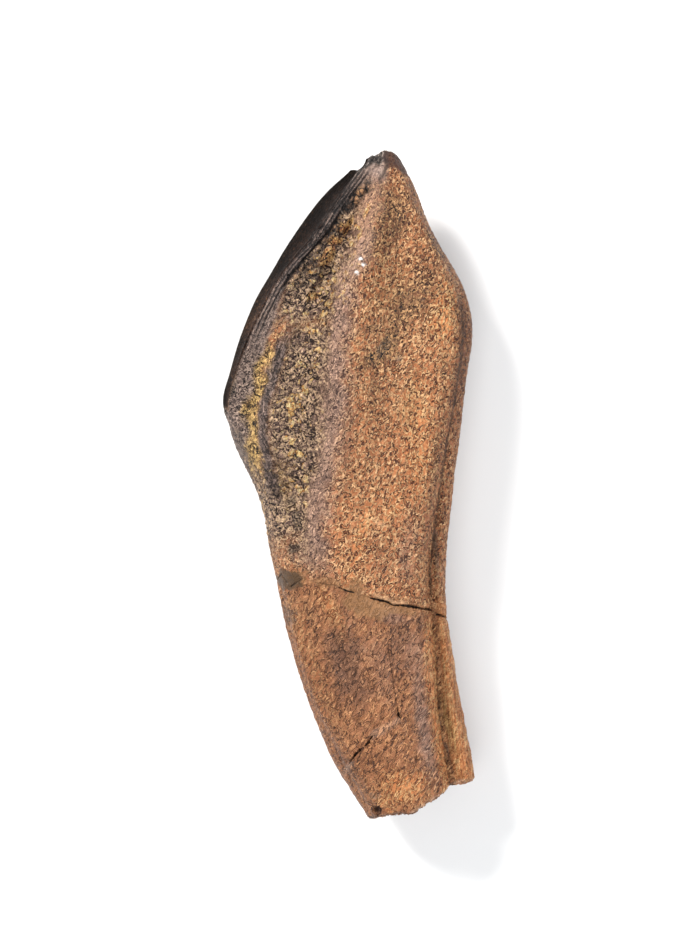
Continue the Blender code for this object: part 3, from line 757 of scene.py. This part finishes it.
# On the lower side the dirt washes are partly painted shade too, and the umber wash is painted shade.
LOWER_WASHES = {
    "dirt": [
        (3.5, 12.0, 3.6, 1.5, 80, 0.6), (-2.0, -2.0, 3.0, 1.2, -70, 0.5),
        (5.5, -6.0, 3.0, 1.0, 85, 0.4),
    ],
    "purple": [
        (-1.0, -13.0, 3.6, 1.0, -70, 0.8), (5.5, 3.0, 2.8, 1.0, 80, 0.5),
        (4.5, -16.0, 4.0, 0.9, -80, 0.6),
    ],
    "chalk": [(3.5, -10.0, 3.0, 1.4, -80, 0.5)],
    "orange": [(5.0, 6.0, 4.6, 1.8, 80, 0.7), (1.0, -18.0, 3.6, 1.6, -70, 0.7)],
    "umber": [(0.0, -14.0, 6.0, 2.0, -70, 0.5)],
    "olive": [(-3.5, 1.0, 2.2, 0.9, -80, 0.6)],
    "cream": [(-2.5, 9.0, 4.0, 1.2, 70, 0.7)],
}
LOWER_PATCHES = {
    "black": [(-1.5, 17.0, 3.0, 0.7, 58, 0.9), (2.5, 6.0, 1.3, 0.5, 60, 0.6)],
    "old_filler": [(5.5, -9.3, 0.9, 0.4, -10, 0.9)],
    "filler": [(0.5, -8.6, 1.8, 0.6, -10, 1.0)],
}
# Where an oval is none and full, counted from its middle to its border, and how ragged it is.
WASH_BORDER = (1.35, 0.15, 0.45)
PATCH_BORDER = (1.2, 0.75, 0.9)


def oval(mid_x, mid_y, length, breadth, turn):
    """How far out each place is from an oval's middle: 1 is its border."""
    angle = math.radians(turn)
    away_x, away_y = x - mid_x, y - mid_y
    lengthways = away_x * math.cos(angle) + away_y * math.sin(angle)
    sideways = away_y * math.cos(angle) - away_x * math.sin(angle)
    return np.hypot(lengthways / length, sideways / breadth)


def covered(ovals, none, full, raggedness):
    """How strongly a list of ovals covers each place."""
    total = np.zeros(len(skin))
    for *shape, strength in ovals:
        reach = oval(*shape) + (broad_stray + 0.6 * fine_stray) * raggedness
        total = np.maximum(total, strength * rise(reach, none, full))
    return total


masks = {}
for on_side, washes, patches in (
    (upper, UPPER_WASHES, UPPER_PATCHES), (lower, LOWER_WASHES, LOWER_PATCHES)
):
    for finishes, edge in ((washes, WASH_BORDER), (patches, PATCH_BORDER)):
        for name, ovals in finishes.items():
            masks[name] = np.maximum(masks.get(name, 0), covered(ovals, *edge) * on_side)
# The groove's painted light is laid on as orange.
masks["orange"] = np.maximum(masks["orange"], 0.9 * groove_painted_light)
masks.update(
    enamel=enamel, carina=carina, rim=rim, layered=layered, hollow=hollow, left=left, ridge=ridge,
    side_band=side_band, ochre=ochre, edge_dark=edge_dark, cheek=cheek, cheek_groove=cheek_groove,
    rib=rib, margin_gap=margin_gap, lip=lip, healed=healed, root=root, fracture=fracture, pale=pale,
    tip_edge=tip_edge, tip_brown=tip_brown, tip_contour=tip_contour, tip_smooth=tip_smooth,
    past_edge=past_edge, past_cheek=past_cheek, past_cheek_groove=past_cheek_groove,
)


def keep(mesh, name, values):
    """Stores one number for each vertex in the mesh."""
    attribute = mesh.attributes.get(name) or mesh.attributes.new(name, "FLOAT", "POINT")
    attribute.data.foreach_set("value", np.ascontiguousarray(values, dtype=np.float32))


for name, values in masks.items():
    keep(tooth.data, name, values)
print(len(masks), "masks on", len(skin), "vertices")

# %% [markdown]
# ## Relief with Geometry Nodes
#
# The root was being dissolved when the tooth was shed, which left its hollows pebbly, like fine
# coral. The broad sides are sandy, the root is wrinkled across its length, and the enamel is nearly
# smooth with a fine striped rim. One node tree raises all of them along the normals, each by its
# own mask, with its sizes as named inputs. It also stores the place in the pattern that each point
# had before it was raised, so that the colours can find the same pebbles.

# %% The relief tree
RELIEF = {
    "Lump size": 0.5, "Lump height": 0.1, "Knob size": 0.46, "Knob height": 0.16,
    "Crumb size": 0.3, "Crumb height": 0.05, "Sand size": 0.3, "Sand height": 0.05,
    "Wrinkle width": 0.3, "Wrinkle height": 0.07, "Stria width": 0.16, "Stria height": 0.035,
    "Fracture height": 0.05, "Bend": 0.4,
}
BEND_SIZE = 0.45
WRINKLE_TURN = math.radians(30)
WRINKLE_STRETCH = (1.0, 0.34, 0.6)
SAND_STRETCH = (1.0, 0.6, 0.8)
STRIA_STRETCH = 0.12
WORM_DETAIL = (1.5, 0.5, 0.7)  # a noise's detail, roughness and distortion
BESIDE_EDGES = "DISTANCE_TO_EDGE"  # the kind of cells that give the distance to a cell's edge
MARGIN_GAP_DEPTH = 0.12
FILLER_CALM = 0.85
FILLER_LIFT = 0.025


def relief_tree(finish):
    tree = bpy.data.node_groups.new("tooth_relief", "GeometryNodeTree")
    tree.interface.new_socket("Geometry", in_out="INPUT", socket_type="NodeSocketGeometry")
    tree.interface.new_socket("Geometry", in_out="OUTPUT", socket_type="NodeSocketGeometry")
    for name, value in RELIEF.items():
        socket = tree.interface.new_socket(name, in_out="INPUT", socket_type="NodeSocketFloat")
        socket.default_value = value
    shop = Workshop(tree)
    start = tree.nodes.new("NodeGroupInput")
    size = {name: Wire(shop, start.outputs[name]) for name in RELIEF}

    def mask(name):
        return shop.add("GeometryNodeInputNamedAttribute", {"data_type": "FLOAT"}, {"Name": name})

    def shrunk(vector, wire):
        """A place counted in steps of a size."""
        return shop.scale(vector, 1 / wire)

    where = shop.scale(shop.add("GeometryNodeInputPosition"), 1 / MM)
    swirl = {"Vector": where, "Scale": 1 / BEND_SIZE, "Detail": 1.0}
    swirl = shop.add("ShaderNodeTexNoise", {"noise_dimensions": "3D"}, swirl, output=1)
    bent = shop.vector("ADD", where, shop.scale(swirl, size["Bend"]))

    lump = shop.cells(shrunk(bent, size["Lump size"]), 1.0, feature=BESIDE_EDGES)
    lump = lump.rise(0.0, 0.3) - 0.6
    knob = 1 - (shop.cells(shrunk(bent, size["Knob size"]), 1.0, feature="SMOOTH_F1") * 1.5) ** 2.0
    crumb = 0.5 - shop.cells(shrunk(where, size["Crumb size"]), 1.0)
    turned = shop.turned(where, WRINKLE_TURN)
    sandy = shrunk(shop.vector("MULTIPLY", turned, SAND_STRETCH), size["Sand size"])
    sand = (shop.noise(sandy, 1.0, *WORM_DETAIL) - 0.5).then("ABSOLUTE").rise(0.08, 0.0) - 0.4
    wrinkled = shrunk(shop.vector("MULTIPLY", turned, WRINKLE_STRETCH), size["Wrinkle width"])
    wrinkle = shop.noise(wrinkled, 1.0, 2.0, 0.5, 0.8)
    crease = (wrinkle - 0.5) * 3
    stria_at = {0: mask("past_edge"), 1: shop.y_of(where) * STRIA_STRETCH}
    stria_at = shrunk(shop.add("ShaderNodeCombineXYZ", {}, stria_at), size["Stria width"])
    stria = shop.noise(stria_at, 1.0, 1.0) - 0.5

    plain = 1 - mask("enamel")
    filled = mask("filler").above(mask("old_filler"))
    striped = (mask("rim") + mask("side_band") + mask("rib")).then("MINIMUM", 1.0)
    relief = lump * size["Lump height"] * mask("hollow")
    relief += knob.above(-0.6) * size["Knob height"] * mask("knobs")
    relief += crumb * size["Crumb height"] * mask("left")
    relief += sand * size["Sand height"] * plain * (1 - mask("root") * 0.7)
    relief += crease * size["Wrinkle height"] * mask("root") * (1 - mask("fracture"))
    relief += stria * size["Stria height"] * 2 * striped * plain - mask("margin_gap") * MARGIN_GAP_DEPTH
    relief += sand * size["Fracture height"] * 2 * mask("fracture")
    relief = relief * (1 - filled * FILLER_CALM) + filled * FILLER_LIFT

    here = Wire(shop, start.outputs["Geometry"])
    settings = {"data_type": "FLOAT_VECTOR", "domain": "POINT"}
    place_kept = {"Geometry": here, "Name": "place", "Value": bent}
    marked = shop.add("GeometryNodeStoreNamedAttribute", settings, place_kept)
    along_normal = shop.scale(shop.add("GeometryNodeInputNormal"), relief * MM)
    moved = shop.add("GeometryNodeSetPosition", {}, {"Geometry": marked, "Offset": along_normal})
    real = shop.add("GeometryNodeRealizeInstances", {}, {0: moved})
    painted = shop.add("GeometryNodeSetMaterial", {}, {"Geometry": real, "Material": finish})
    end = tree.nodes.new("NodeGroupOutput")
    tree.links.new(painted.socket, end.inputs["Geometry"])
    return tree


tooth_finish = bpy.data.materials.new("fossil_tooth_surface")
tooth_finish.use_nodes = True


def run_nodes(ob, tree, values):
    """Runs a Geometry Nodes tree on an object with named values, and keeps the plain mesh."""
    modifier = ob.modifiers.new("nodes", "NODES")
    modifier.node_group = tree
    for item in tree.interface.items_tree:
        if item.in_out == "INPUT" and item.name in values:
            modifier[item.identifier] = float(values[item.name])
    mesh = baked(ob)
    ob.modifiers.remove(modifier)
    ob.data = mesh


before, facing = positions(tooth.data), normals_of(tooth.data)
run_nodes(tooth, relief_tree(tooth_finish), RELIEF)
lift = ((positions(tooth.data) - before) * facing).sum(axis=1)
print("the relief's heights in mm:", np.percentile(lift, (2, 50, 98)).round(3))

# %% How high each spot stands above those around it
# Low spots get painted shade and high spots a painted highlight: the colours read how much higher
# than its surroundings a vertex was raised.
SURROUNDINGS_ROUNDS = 40
SURROUNDINGS_SHARE = 0.6

smooth_lift = relaxed(
    lift[:, None], edges_of(tooth.data), SURROUNDINGS_ROUNDS, SURROUNDINGS_SHARE
)[:, 0]
keep(tooth.data, "stands", lift - smooth_lift)
print("above their surroundings, in mm:", np.percentile(lift - smooth_lift, (2, 50, 98)).round(3))

# %% [markdown]
# ## Cut the cracks and the cheek side's groove
#
# A crack has a V shape: deepest on its line, nothing just past its half width. The surface is
# pushed in along its normals, and a second number, crack, is kept for the colours: the inside of a
# crack is painted nearly black as shade, the darker the deeper it is cut. Round the hidden side the
# break is a thin line, deep in some places and shallow in others.

# %% Cracks
CRACK_WIDTH = 0.62  # a crack is cut to this share of its listed width
HIDDEN_BREAK = (0.05, 0.2)  # the break's half width and depth where its line isn't listed
CUT_SOFTNESS = 0.04
DARK_SOFTNESS = 0.03
DARK_DEPTH = 0.16  # a crack this deep gets the darkest painted shade

skin = positions(tooth.data)
facing = normals_of(tooth.data)
x, y, z = skin.T
jitter = wander(skin, 0.22, 0.05, 9.0)


def crack_at(distance, half_width, depth, where):
    """How deep a crack cuts in and how dark its painted shade is, at each place."""
    deep = rise(distance, half_width + CUT_SOFTNESS, half_width * 0.3) * where * depth
    dark = rise(distance, half_width + DARK_SOFTNESS, half_width * 0.4) * where
    return deep, dark * np.clip(depth / DARK_DEPTH, 0, 1)


cracks = []
for line in CRACKS.values():
    table = np.array(line)
    distance, spot = near_line(line, skin)
    steps = np.arange(len(table))
    half_width = np.interp(spot, steps, table[:, 2]) * CRACK_WIDTH
    depth = np.interp(spot, steps, table[:, 3])
    where = upper * rise(distance, 0.6, 0.4)
    cracks.append(crack_at(np.abs(distance + jitter), half_width, depth, where))
hidden = 1 - rise(z, 4.2, 5.4) * rise(x, -5.9, -5.2) * rise(x, 7.5, 7.2)
hidden_depth = HIDDEN_BREAK[1] * (0.45 + 0.55 * rise(wander(skin, 1.4, 1.0, 3.0), -0.2, 0.2))
from_break = np.abs(y - break_height(skin) + jitter * 2)
cracks.append(crack_at(from_break, HIDDEN_BREAK[0], hidden_depth, hidden))
cut, crack = np.maximum.reduce(cracks)
print("the deepest crack is", round(float(cut.max()), 2), "mm")

# %% The cheek side's groove, the notch at the tip, pits and glints
GROOVE_CUT = (0.42, 0.05)  # half width and depth of the cheek side's groove
SEAM_CUT = (0.05, 0.1)  # the fine dark line along the groove's bottom
NOTCH_Y = 23.7  # the enamelled face's middle ridge breaks off here, short of the tip
NOTCH_DEPTH = 0.34
NOTCH_TURN = (-0.55, -0.95)  # only the surface that faces the tongue and the tip is cut
PITS = [(2.0, -24.04, 0.35, 0.3), (-4.0, -4.5, 0.25, 0.12)]  # x, y, radius and depth
DARK_PIT_DEPTH = 0.3
GLINTS = [(0.75, 16.8), (0.97, 16.35), (0.52, 15.8)]  # painted highlights where tiny crystals glint, at x and y
GLINT_RADII = (0.17, 0.08)

groove_run = upper * rise(y, 10.0, -2.0)
from_groove = np.abs(x - along(CHEEK_GROOVE, y) + jitter * 3)
cut += GROOVE_CUT[1] * rise(from_groove, GROOVE_CUT[0], 0.0) * groove_run
seam_run = groove_run * rise(wander(skin, 1.3, 1.0, 6.0) + rise(y, -6.0, -14.0), 0.1, 0.5)
seam = rise(from_groove, SEAM_CUT[0] + CUT_SOFTNESS, SEAM_CUT[0] * 0.3) * seam_run
cut += SEAM_CUT[1] * seam
notch_run = rise(y + jitter * 1.5, NOTCH_Y - 0.1, NOTCH_Y + 0.1) * rise(y, 24.9, 23.8)
cut += NOTCH_DEPTH * notch_run * rise(facing[:, 0] - facing[:, 1] * 0.9, *NOTCH_TURN)

pit, glint = np.zeros(len(skin)), np.zeros(len(skin))
for pit_x, pit_y, radius, depth in PITS:
    distance = np.hypot(x - pit_x, y - pit_y) + jitter
    inside = rise(distance, radius * 1.15, radius * 0.6) * upper
    cut = np.maximum(cut, inside * depth)
    # A pit is painted darker the deeper it is, as shade.
    pit = np.maximum(pit, inside * depth / DARK_PIT_DEPTH)
for glint_x, glint_y in GLINTS:
    inside = rise(np.hypot(x - glint_x, y - glint_y), *GLINT_RADII) * upper
    glint = np.maximum(glint, inside)
print("the deepest cut is", round(float(cut.max()), 2), "mm")

# %% Push the surface in, and rest the tooth on the table
skin -= facing * cut[:, None]
skin[:, 2] = np.maximum(skin[:, 2], 0)
set_positions(tooth.data, skin)
for name, values in {"crack": crack, "seam": seam, "pit": pit, "glint": glint}.items():
    keep(tooth.data, name, values)
print("its lowest point is at z =", round(float(skin[:, 2].min()), 3))

# %% [markdown]
# ## The colours
#
# Fossil teeth take their colours from the minerals that replaced them: iron gives the orange and
# brown dentine, manganese the black crust, clay the greys. Each finish is three colours: that of
# its crevices, darkened as painted shade, of its body, and of its crests, rubbed lighter and lit
# with painted highlight. A height that follows the grain runs through the three, and the masks
# choose between the finishes.

# %% Palette


def srgb(red, green, blue):
    """A colour given as it looks on a screen, 0 to 255, in the shader's linear numbers."""
    def linear(value):
        value /= 255
        return value / 12.92 if value <= 0.04045 else ((value + 0.055) / 1.055) ** 2.4
    return (linear(red), linear(green), linear(blue), 1.0)


# Besides the tooth's own tones, crevice colours carry painted shade and crest colours painted
# highlight.
FINISHES = {  # crevice, body, crest
    "sandy": ((88, 48, 28), (196, 128, 81), (255, 206, 152)),
    "dirt": ((26, 18, 15), (114, 82, 59), (236, 184, 128)),
    "orange": ((102, 52, 26), (228, 146, 86), (255, 214, 152)),
    "umber": ((58, 35, 20), (136, 90, 60), (198, 144, 100)),
    "purple": ((50, 38, 34), (104, 78, 66), (164, 126, 106)),
    "chalk": ((84, 62, 54), (160, 122, 102), (204, 166, 144)),
    "ridge": ((84, 62, 56), (154, 124, 108), (216, 178, 152)),
    "olive": ((52, 38, 20), (148, 112, 66), (222, 180, 114)),
    "lumps": ((44, 30, 24), (134, 108, 98), (250, 216, 176)),
    "knobs": ((16, 13, 12), (100, 80, 68), (206, 156, 112)),
    "cream": ((166, 106, 54), (238, 184, 108), (255, 236, 176)),
    "black": ((16, 14, 13), (68, 60, 57), (164, 144, 122)),
    "golden": ((28, 22, 22), (208, 136, 84), (255, 208, 136)),
    "speckled": ((14, 12, 12), (66, 58, 54), (196, 182, 172)),
    "ochre": ((26, 20, 12), (154, 122, 74), (236, 200, 130)),
    "grey": ((44, 36, 34), (138, 119, 111), (208, 184, 168)),
    "root": ((76, 45, 28), (163, 109, 72), (228, 168, 118)),
    "enamel": ((18, 11, 8), (60, 42, 33), (126, 96, 74)),
    "carina": ((14, 9, 7), (44, 31, 23), (96, 74, 56)),
    "old_filler": ((46, 36, 22), (80, 61, 40), (110, 88, 62)),
    "filler": ((96, 70, 42), (142, 104, 64), (170, 130, 88)),
    "fracture": ((56, 36, 26), (152, 106, 78), (216, 170, 138)),
}
STOPS = (0.27, 0.5, 0.76)  # the heights at which a finish has its three colours

# %% The patterns, with sizes in mm
GRAIN_SIZE = 0.145
FINE_SIZE = 0.07
CLOUD_SIZE = 2.4
SQUIGGLE_SIZE = 0.42
WORM_SIZE = 0.24
SPECKLE_SIZE = 0.34
BUSY_SIZE = 1.1
# The dark line is painted shadow beside each line of painted highlight.
BESIDE = 0.57  # the noise level of the dark line beside each bright one
STREAK_SIZE = 0.26
STRIA_SIZE = 0.09
STREAK_ALONG = 0.05  # streaks are this share as fine lengthways as across

paint = Workshop(tooth_finish.node_tree)
where = paint.scale(paint.add("ShaderNodeTexCoord", output=3), 1 / MM)
place = paint.add("ShaderNodeAttribute", {"attribute_name": "place"}, output=1)
at_y = paint.y_of(where)
lump_size, knob_size = RELIEF["Lump size"], RELIEF["Knob size"]


def mask_of(name):
    return paint.add("ShaderNodeAttribute", {"attribute_name": name}, output=2)


def stripes(across_name):
    """Long streaks that keep to a line along the tooth."""
    at = paint.add("ShaderNodeCombineXYZ", {}, {0: mask_of(across_name), 1: at_y * STREAK_ALONG})
    return paint.noise(at, STRIA_SIZE)


def contours(noise_wire, half_width, level=0.5):
    """Winding lines: 1 where a noise is at a level, 0 from half_width away."""
    return (noise_wire - level).then("ABSOLUTE").rise(half_width, 0.0)


turned = paint.turned(where, WRINKLE_TURN)
sandy, wrinkled = (paint.vector("MULTIPLY", turned, by) for by in (SAND_STRETCH, WRINKLE_STRETCH))
grain = paint.noise(sandy, GRAIN_SIZE, 2.5, 0.62, 0.9)
fine = paint.noise(where, FINE_SIZE, 2.0, 0.6)
clouds = paint.noise(where, CLOUD_SIZE, 3.0, 0.55)
squiggle = paint.noise(where, SQUIGGLE_SIZE, 1.5, 0.5, 1.4)
streaks = paint.noise(wrinkled, STREAK_SIZE, 1.6, 0.5, 1.0)
wormy = paint.noise(sandy, WORM_SIZE, *WORM_DETAIL)
speckle = paint.noise(where, SPECKLE_SIZE, 3.0, 0.65, 0.4)
busy = paint.noise(where, BUSY_SIZE).rise(0.38, 0.58)
stria, rib_stria = stripes("past_edge"), stripes("past_cheek")
# Bright contour lines for painted highlights, each with a dark one beside it for painted shadow; the
# bump raises the same lines.
worms, gullies = contours(wormy, 0.075), contours(wormy, 0.065, BESIDE)
wrinkles, furrows = contours(streaks, 0.08), contours(streaks, 0.07, BESIDE)
beads, fine_creases = contours(squiggle, 0.1), contours(squiggle, 0.09, BESIDE)
creases = paint.cells(place, lump_size, feature=BESIDE_EDGES).rise(0.1, 0.0)
lump_tint = paint.add("ShaderNodeSeparateColor", {}, {0: paint.cells(place, lump_size, output=1)})
knob_dome = 1 - (paint.cells(place, knob_size) * 1.5) ** 2.0
knob_rings = paint.cells(place, knob_size, feature=BESIDE_EDGES).rise(0.16, 0.03)
print("the patterns are ready")

# %% Heights that run through the finishes
# Each is a sum of patterns round 0, with a share for each, and the height of the finish's body.
grains, dust, blush = grain - 0.5, fine - 0.5, clouds - 0.5
lump_tints, striae, squiggles = lump_tint - 0.5, stria - 0.5, squiggle - 0.5
soft_unevenness = dust * 0.3 + blush * 0.25
# Random tone, plus painted shade in low spots and painted highlight on high ones.
unevenness_and_shade = soft_unevenness + mask_of("stands") * 2.0
in_root = mask_of("root")
sharpness = at_y.rise(3.0, 12.0) * 0.4 + 1
# Worms, wrinkles and beads add painted highlights; gullies, furrows, fine creases and the lumps'
# creases add painted shadow lines.
tone = (worms * 0.38 - gullies * 0.38 + grains * 0.6) * sharpness + 0.475 + unevenness_and_shade
tone -= at_y.rise(13.0, 18.0) * 0.06
root_tone = wrinkles * 0.22 - furrows * 0.2 + grains * 0.4 + 0.49 + unevenness_and_shade
wash_tone = tone * (1 - in_root) + root_tone * in_root
ridge_tone = worms * 0.3 - gullies * 0.29 + grains * 0.6 + 0.5 + unevenness_and_shade
ridge_tone += at_y.rise(14.0, 20.0) * 0.23
lump_tone = (beads * 0.5 - fine_creases * 0.34) * (busy * 0.6 + 0.4) + lump_tints * 0.2
# The lumps also take painted shade in low spots and painted highlight on high ones.
lump_tone += grains * 0.5 - creases * (busy * 0.18 + 0.06) + mask_of("stands") * 1.2
lump_tone = (lump_tone + soft_unevenness) * 1.25 + 0.5
knob_tone = knob_dome * 0.3 - knob_rings * 0.3 + (beads - fine_creases) * 0.16
knob_tone += grains * 0.7 + 0.42 + soft_unevenness + lump_tints * 0.3
stria_tone = striae * 0.8 + beads * 0.14 - fine_creases * 0.14 + grains * 0.6 + 0.5 + unevenness_and_shade
rib_tone = (rib_stria - 0.5) * 0.8 + grains * 0.6 + 0.56 + unevenness_and_shade
calm_tone = 0.5 + dust * 0.5 + blush * 0.5
enamel_tone = calm_tone + striae * 0.3 + grains * 0.7 + dust * 0.5 + speckle.rise(0.56, 0.68) * 0.2
enamel_tone -= at_y.rise(9.0, 19.0) * 0.26 + at_y.rise(12.5, 9.5) * 0.16
tip_tone = calm_tone * 0.5 + ridge_tone * 0.5 - 0.03
layered_tone = stria_tone - at_y.rise(12.0, 19.0) * 0.16

# %% Finish over finish, from the most widespread to the smallest
SOFT, UNEVEN, RAGGED = 0.12, 0.35, 0.6  # how much the grain breaks up a border


def finish_at(name, height):
    stops = [(stop, srgb(*colour)) for stop, colour in zip(STOPS, FINISHES[name])]
    return paint.add("ShaderNodeValToRGB", {"stops": stops}, {"Fac": height})


def border(name, raggedness):
    """A mask, with its slope broken up by the grain where it is neither 0 nor 1."""
    mask = mask_of(name)
    between = mask * (1 - mask) * 4
    return mask + between * grains * raggedness * 2


LAYERS = [  # finish, mask, height, raggedness
    ("root", "root", root_tone, SOFT),
    ("purple", "purple", wash_tone, SOFT),
    ("chalk", "chalk", wash_tone, SOFT),
    # The dirt layer is partly painted shade, and the umber layer is painted shade.
    ("dirt", "dirt", wash_tone, RAGGED),
    ("orange", "orange", wash_tone + 0.03, SOFT),
    ("umber", "umber", wash_tone, SOFT),
    ("ridge", "ridge", ridge_tone, UNEVEN),
    ("lumps", "hollow", lump_tone, RAGGED),
    ("olive", "olive", wash_tone, SOFT),
    ("grey", "side_band", stria_tone - 0.13, SOFT),
    ("grey", "rim", stria_tone, SOFT),
    ("grey", "edge_dark", lump_tone, RAGGED),
    ("ochre", "ochre", lump_tone * 1.2 - 0.1, RAGGED),
    ("black", "black", lump_tone, RAGGED),
    ("golden", "golden", lump_tone * 1.4 - 0.2, RAGGED),
    ("knobs", "knobs", knob_tone, RAGGED),
    ("grey", "layered", layered_tone, SOFT),
    ("filler", "filler", calm_tone, SOFT),
    ("old_filler", "old_filler", calm_tone, SOFT),
    ("grey", "tip_smooth", tip_tone, SOFT),
    ("speckled", "tip_edge", stria_tone - 0.06, RAGGED),
    ("fracture", "fracture", tone, RAGGED),
    ("enamel", "enamel", enamel_tone, SOFT),
    ("carina", "carina", enamel_tone, SOFT),
]
colour = finish_at("sandy", tone)
for finish, mask, height, raggedness in LAYERS:
    colour = paint.mix(border(mask, raggedness), colour, finish_at(finish, height))

cream_flecks = (speckle + lump_tints * 0.4 + mask_of("cream") * 0.26).rise(0.72, 0.78)
cream_flecks *= mask_of("hollow").above(mask_of("cream")) * (1 - creases * 0.8)
cream_flecks *= 1 - mask_of("enamel")
colour = paint.mix(cream_flecks, colour, finish_at("cream", tone + 0.05))
colour = paint.mix(mask_of("rib") * 0.7, colour, finish_at("orange", rib_tone))
colour = paint.mix(mask_of("olive") * mask_of("rib") * 0.7, colour, finish_at("olive", rib_tone))
print(len(LAYERS), "finishes laid over the sandy one")

# %% A brown film, painted shade on the cheek side, the smallest marks and the dark lines
FILM = srgb(128, 86, 58)
FILM_STRENGTH = 0.38
MARKS = [  # mask, strength, colour
    ("tip_brown", 0.85, (68, 40, 32)),
    ("tip_contour", 0.7, (50, 36, 32)),
    ("pale", 0.7, (222, 182, 152)),
    ("lip", 0.6, (206, 162, 122)),
    ("healed", 0.35, (196, 164, 144)),
    ("seam", 0.65, (58, 38, 24)),
    ("margin_gap", 0.9, (18, 15, 14)),
    # Painted shade in the pits.
    ("pit", 0.9, (58, 38, 33)),
    # Painted shade inside the cracks, darker where they are deeper.
    ("crack", 0.95, (52, 46, 42)),
    # Painted highlight: the glints are pure white.
    ("glint", 1.0, (255, 255, 255)),
]
FOLD_COLOUR = (62, 39, 24)
LEAF_COLOUR = (18, 14, 13)
LEAF_SIZE = 0.3  # from one of the margin's thin layers to the next

colour = paint.mix(FILM_STRENGTH, colour, FILM, "MULTIPLY")
# Painted shade: the cheek side and its groove are darkened with the film's brown.
shade = (mask_of("cheek") * 0.55 + mask_of("cheek_groove") * 0.06).then("MINIMUM", 0.7)
colour = paint.mix(shade, colour, FILM, "MULTIPLY")
for mask, strength, mark_colour in MARKS:
    colour = paint.mix(mask_of(mask) * strength, colour, srgb(*mark_colour))

from_fold = (mask_of("past_cheek_groove") + squiggles * 0.3).then("ABSOLUTE")
fold = from_fold.rise(0.14, 0.03) * at_y.rise(16.0, 13.0) * at_y.rise(-9.0, -7.0)
fold *= clouds.rise(0.2, 0.42)
colour = paint.mix(fold * 0.75, colour, srgb(*FOLD_COLOUR))
leaf = (mask_of("past_edge") / LEAF_SIZE + squiggles * 0.5 + blush * 1.2).then("FRACT")
leaf = contours(leaf, 0.44) * mask_of("layered") * (1 - mask_of("enamel"))
colour = paint.mix(leaf * 0.95, colour, srgb(*LEAF_COLOUR))

# %% Gloss and the finest relief
BUMP = 0.2 * MM
STONE_SPECULAR = 0.28
ENAMEL_SPECULAR = 0.03
ENAMEL_ROUGHNESS = 0.5

filled = mask_of("filler").above(mask_of("old_filler"))
coated = (filled * 0.8 + mask_of("tip_smooth") * 0.6 + mask_of("enamel") * 0.6).then("MINIMUM", 0.9)
striped = mask_of("rim").above(mask_of("side_band")).above(mask_of("layered"))
pebbled = mask_of("hollow").above(mask_of("edge_dark"))
smoothed = mask_of("root").above(mask_of("ridge"))
sandy_height = (worms * 0.5 - gullies * 0.4 + grain * 0.5) * (1 - smoothed * 0.8) + fine * 0.25
wrinkled_height = (wrinkles * 0.6 - furrows * 0.5 + grain * 0.3) * smoothed
pebbled_height = (beads * 0.7 - creases * 0.5 - fine_creases * 0.5) * pebbled
knobbed_height = (knob_dome - knob_rings) * mask_of("knobs") * 0.6
striped_height = stria * striped * 1.2 + rib_stria * mask_of("rib") * 0.8 - leaf * 0.9
rough_height = sandy_height + wrinkled_height + pebbled_height + knobbed_height + striped_height
bump_sockets = {"Strength": 1.0, "Distance": BUMP, "Height": rough_height * (1 - coated)}
bump = paint.add("ShaderNodeBump", {}, bump_sockets)

stone = tooth_finish.node_tree.nodes["Principled BSDF"]
stone_sockets = {
    "Base Color": colour, "Roughness": 0.52 - filled * 0.08 + grains * 0.25, "Normal": bump
}
for name, wire in stone_sockets.items():
    tooth_finish.node_tree.links.new(wire.socket, stone.inputs[name])
stone.inputs["Specular IOR Level"].default_value = STONE_SPECULAR
glaze = paint.add("ShaderNodeBsdfPrincipled", {}, {
    "Base Color": colour, "Roughness": ENAMEL_ROUGHNESS, "Specular IOR Level": ENAMEL_SPECULAR,
    "Normal": bump,
})
both = {0: mask_of("enamel"), 1: Wire(paint, stone.outputs[0]), 2: glaze}
surface = paint.add("ShaderNodeMixShader", {}, both)
output = tooth_finish.node_tree.nodes["Material Output"]
tooth_finish.node_tree.links.new(surface.socket, output.inputs["Surface"])
print("the material has", len(tooth_finish.node_tree.nodes), "nodes")

# %% [markdown]
# ## Hand over
#
# The loose helper is removed, the tooth gets triangles and smooth shading, and the frame is told
# which solid it stands for.

# %% Finish the mesh and tell the frame
bm = bmesh.new()
bm.from_mesh(tooth.data)
bmesh.ops.triangulate(bm, faces=bm.faces)
bm.to_mesh(tooth.data)
bm.free()
tooth.data.shade_smooth()
bpy.data.objects.remove(smooth_form, do_unlink=True)
print("the tooth has", len(tooth.data.polygons), "triangles")

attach(tooth, "root")
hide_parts("hadrosaur_tooth")
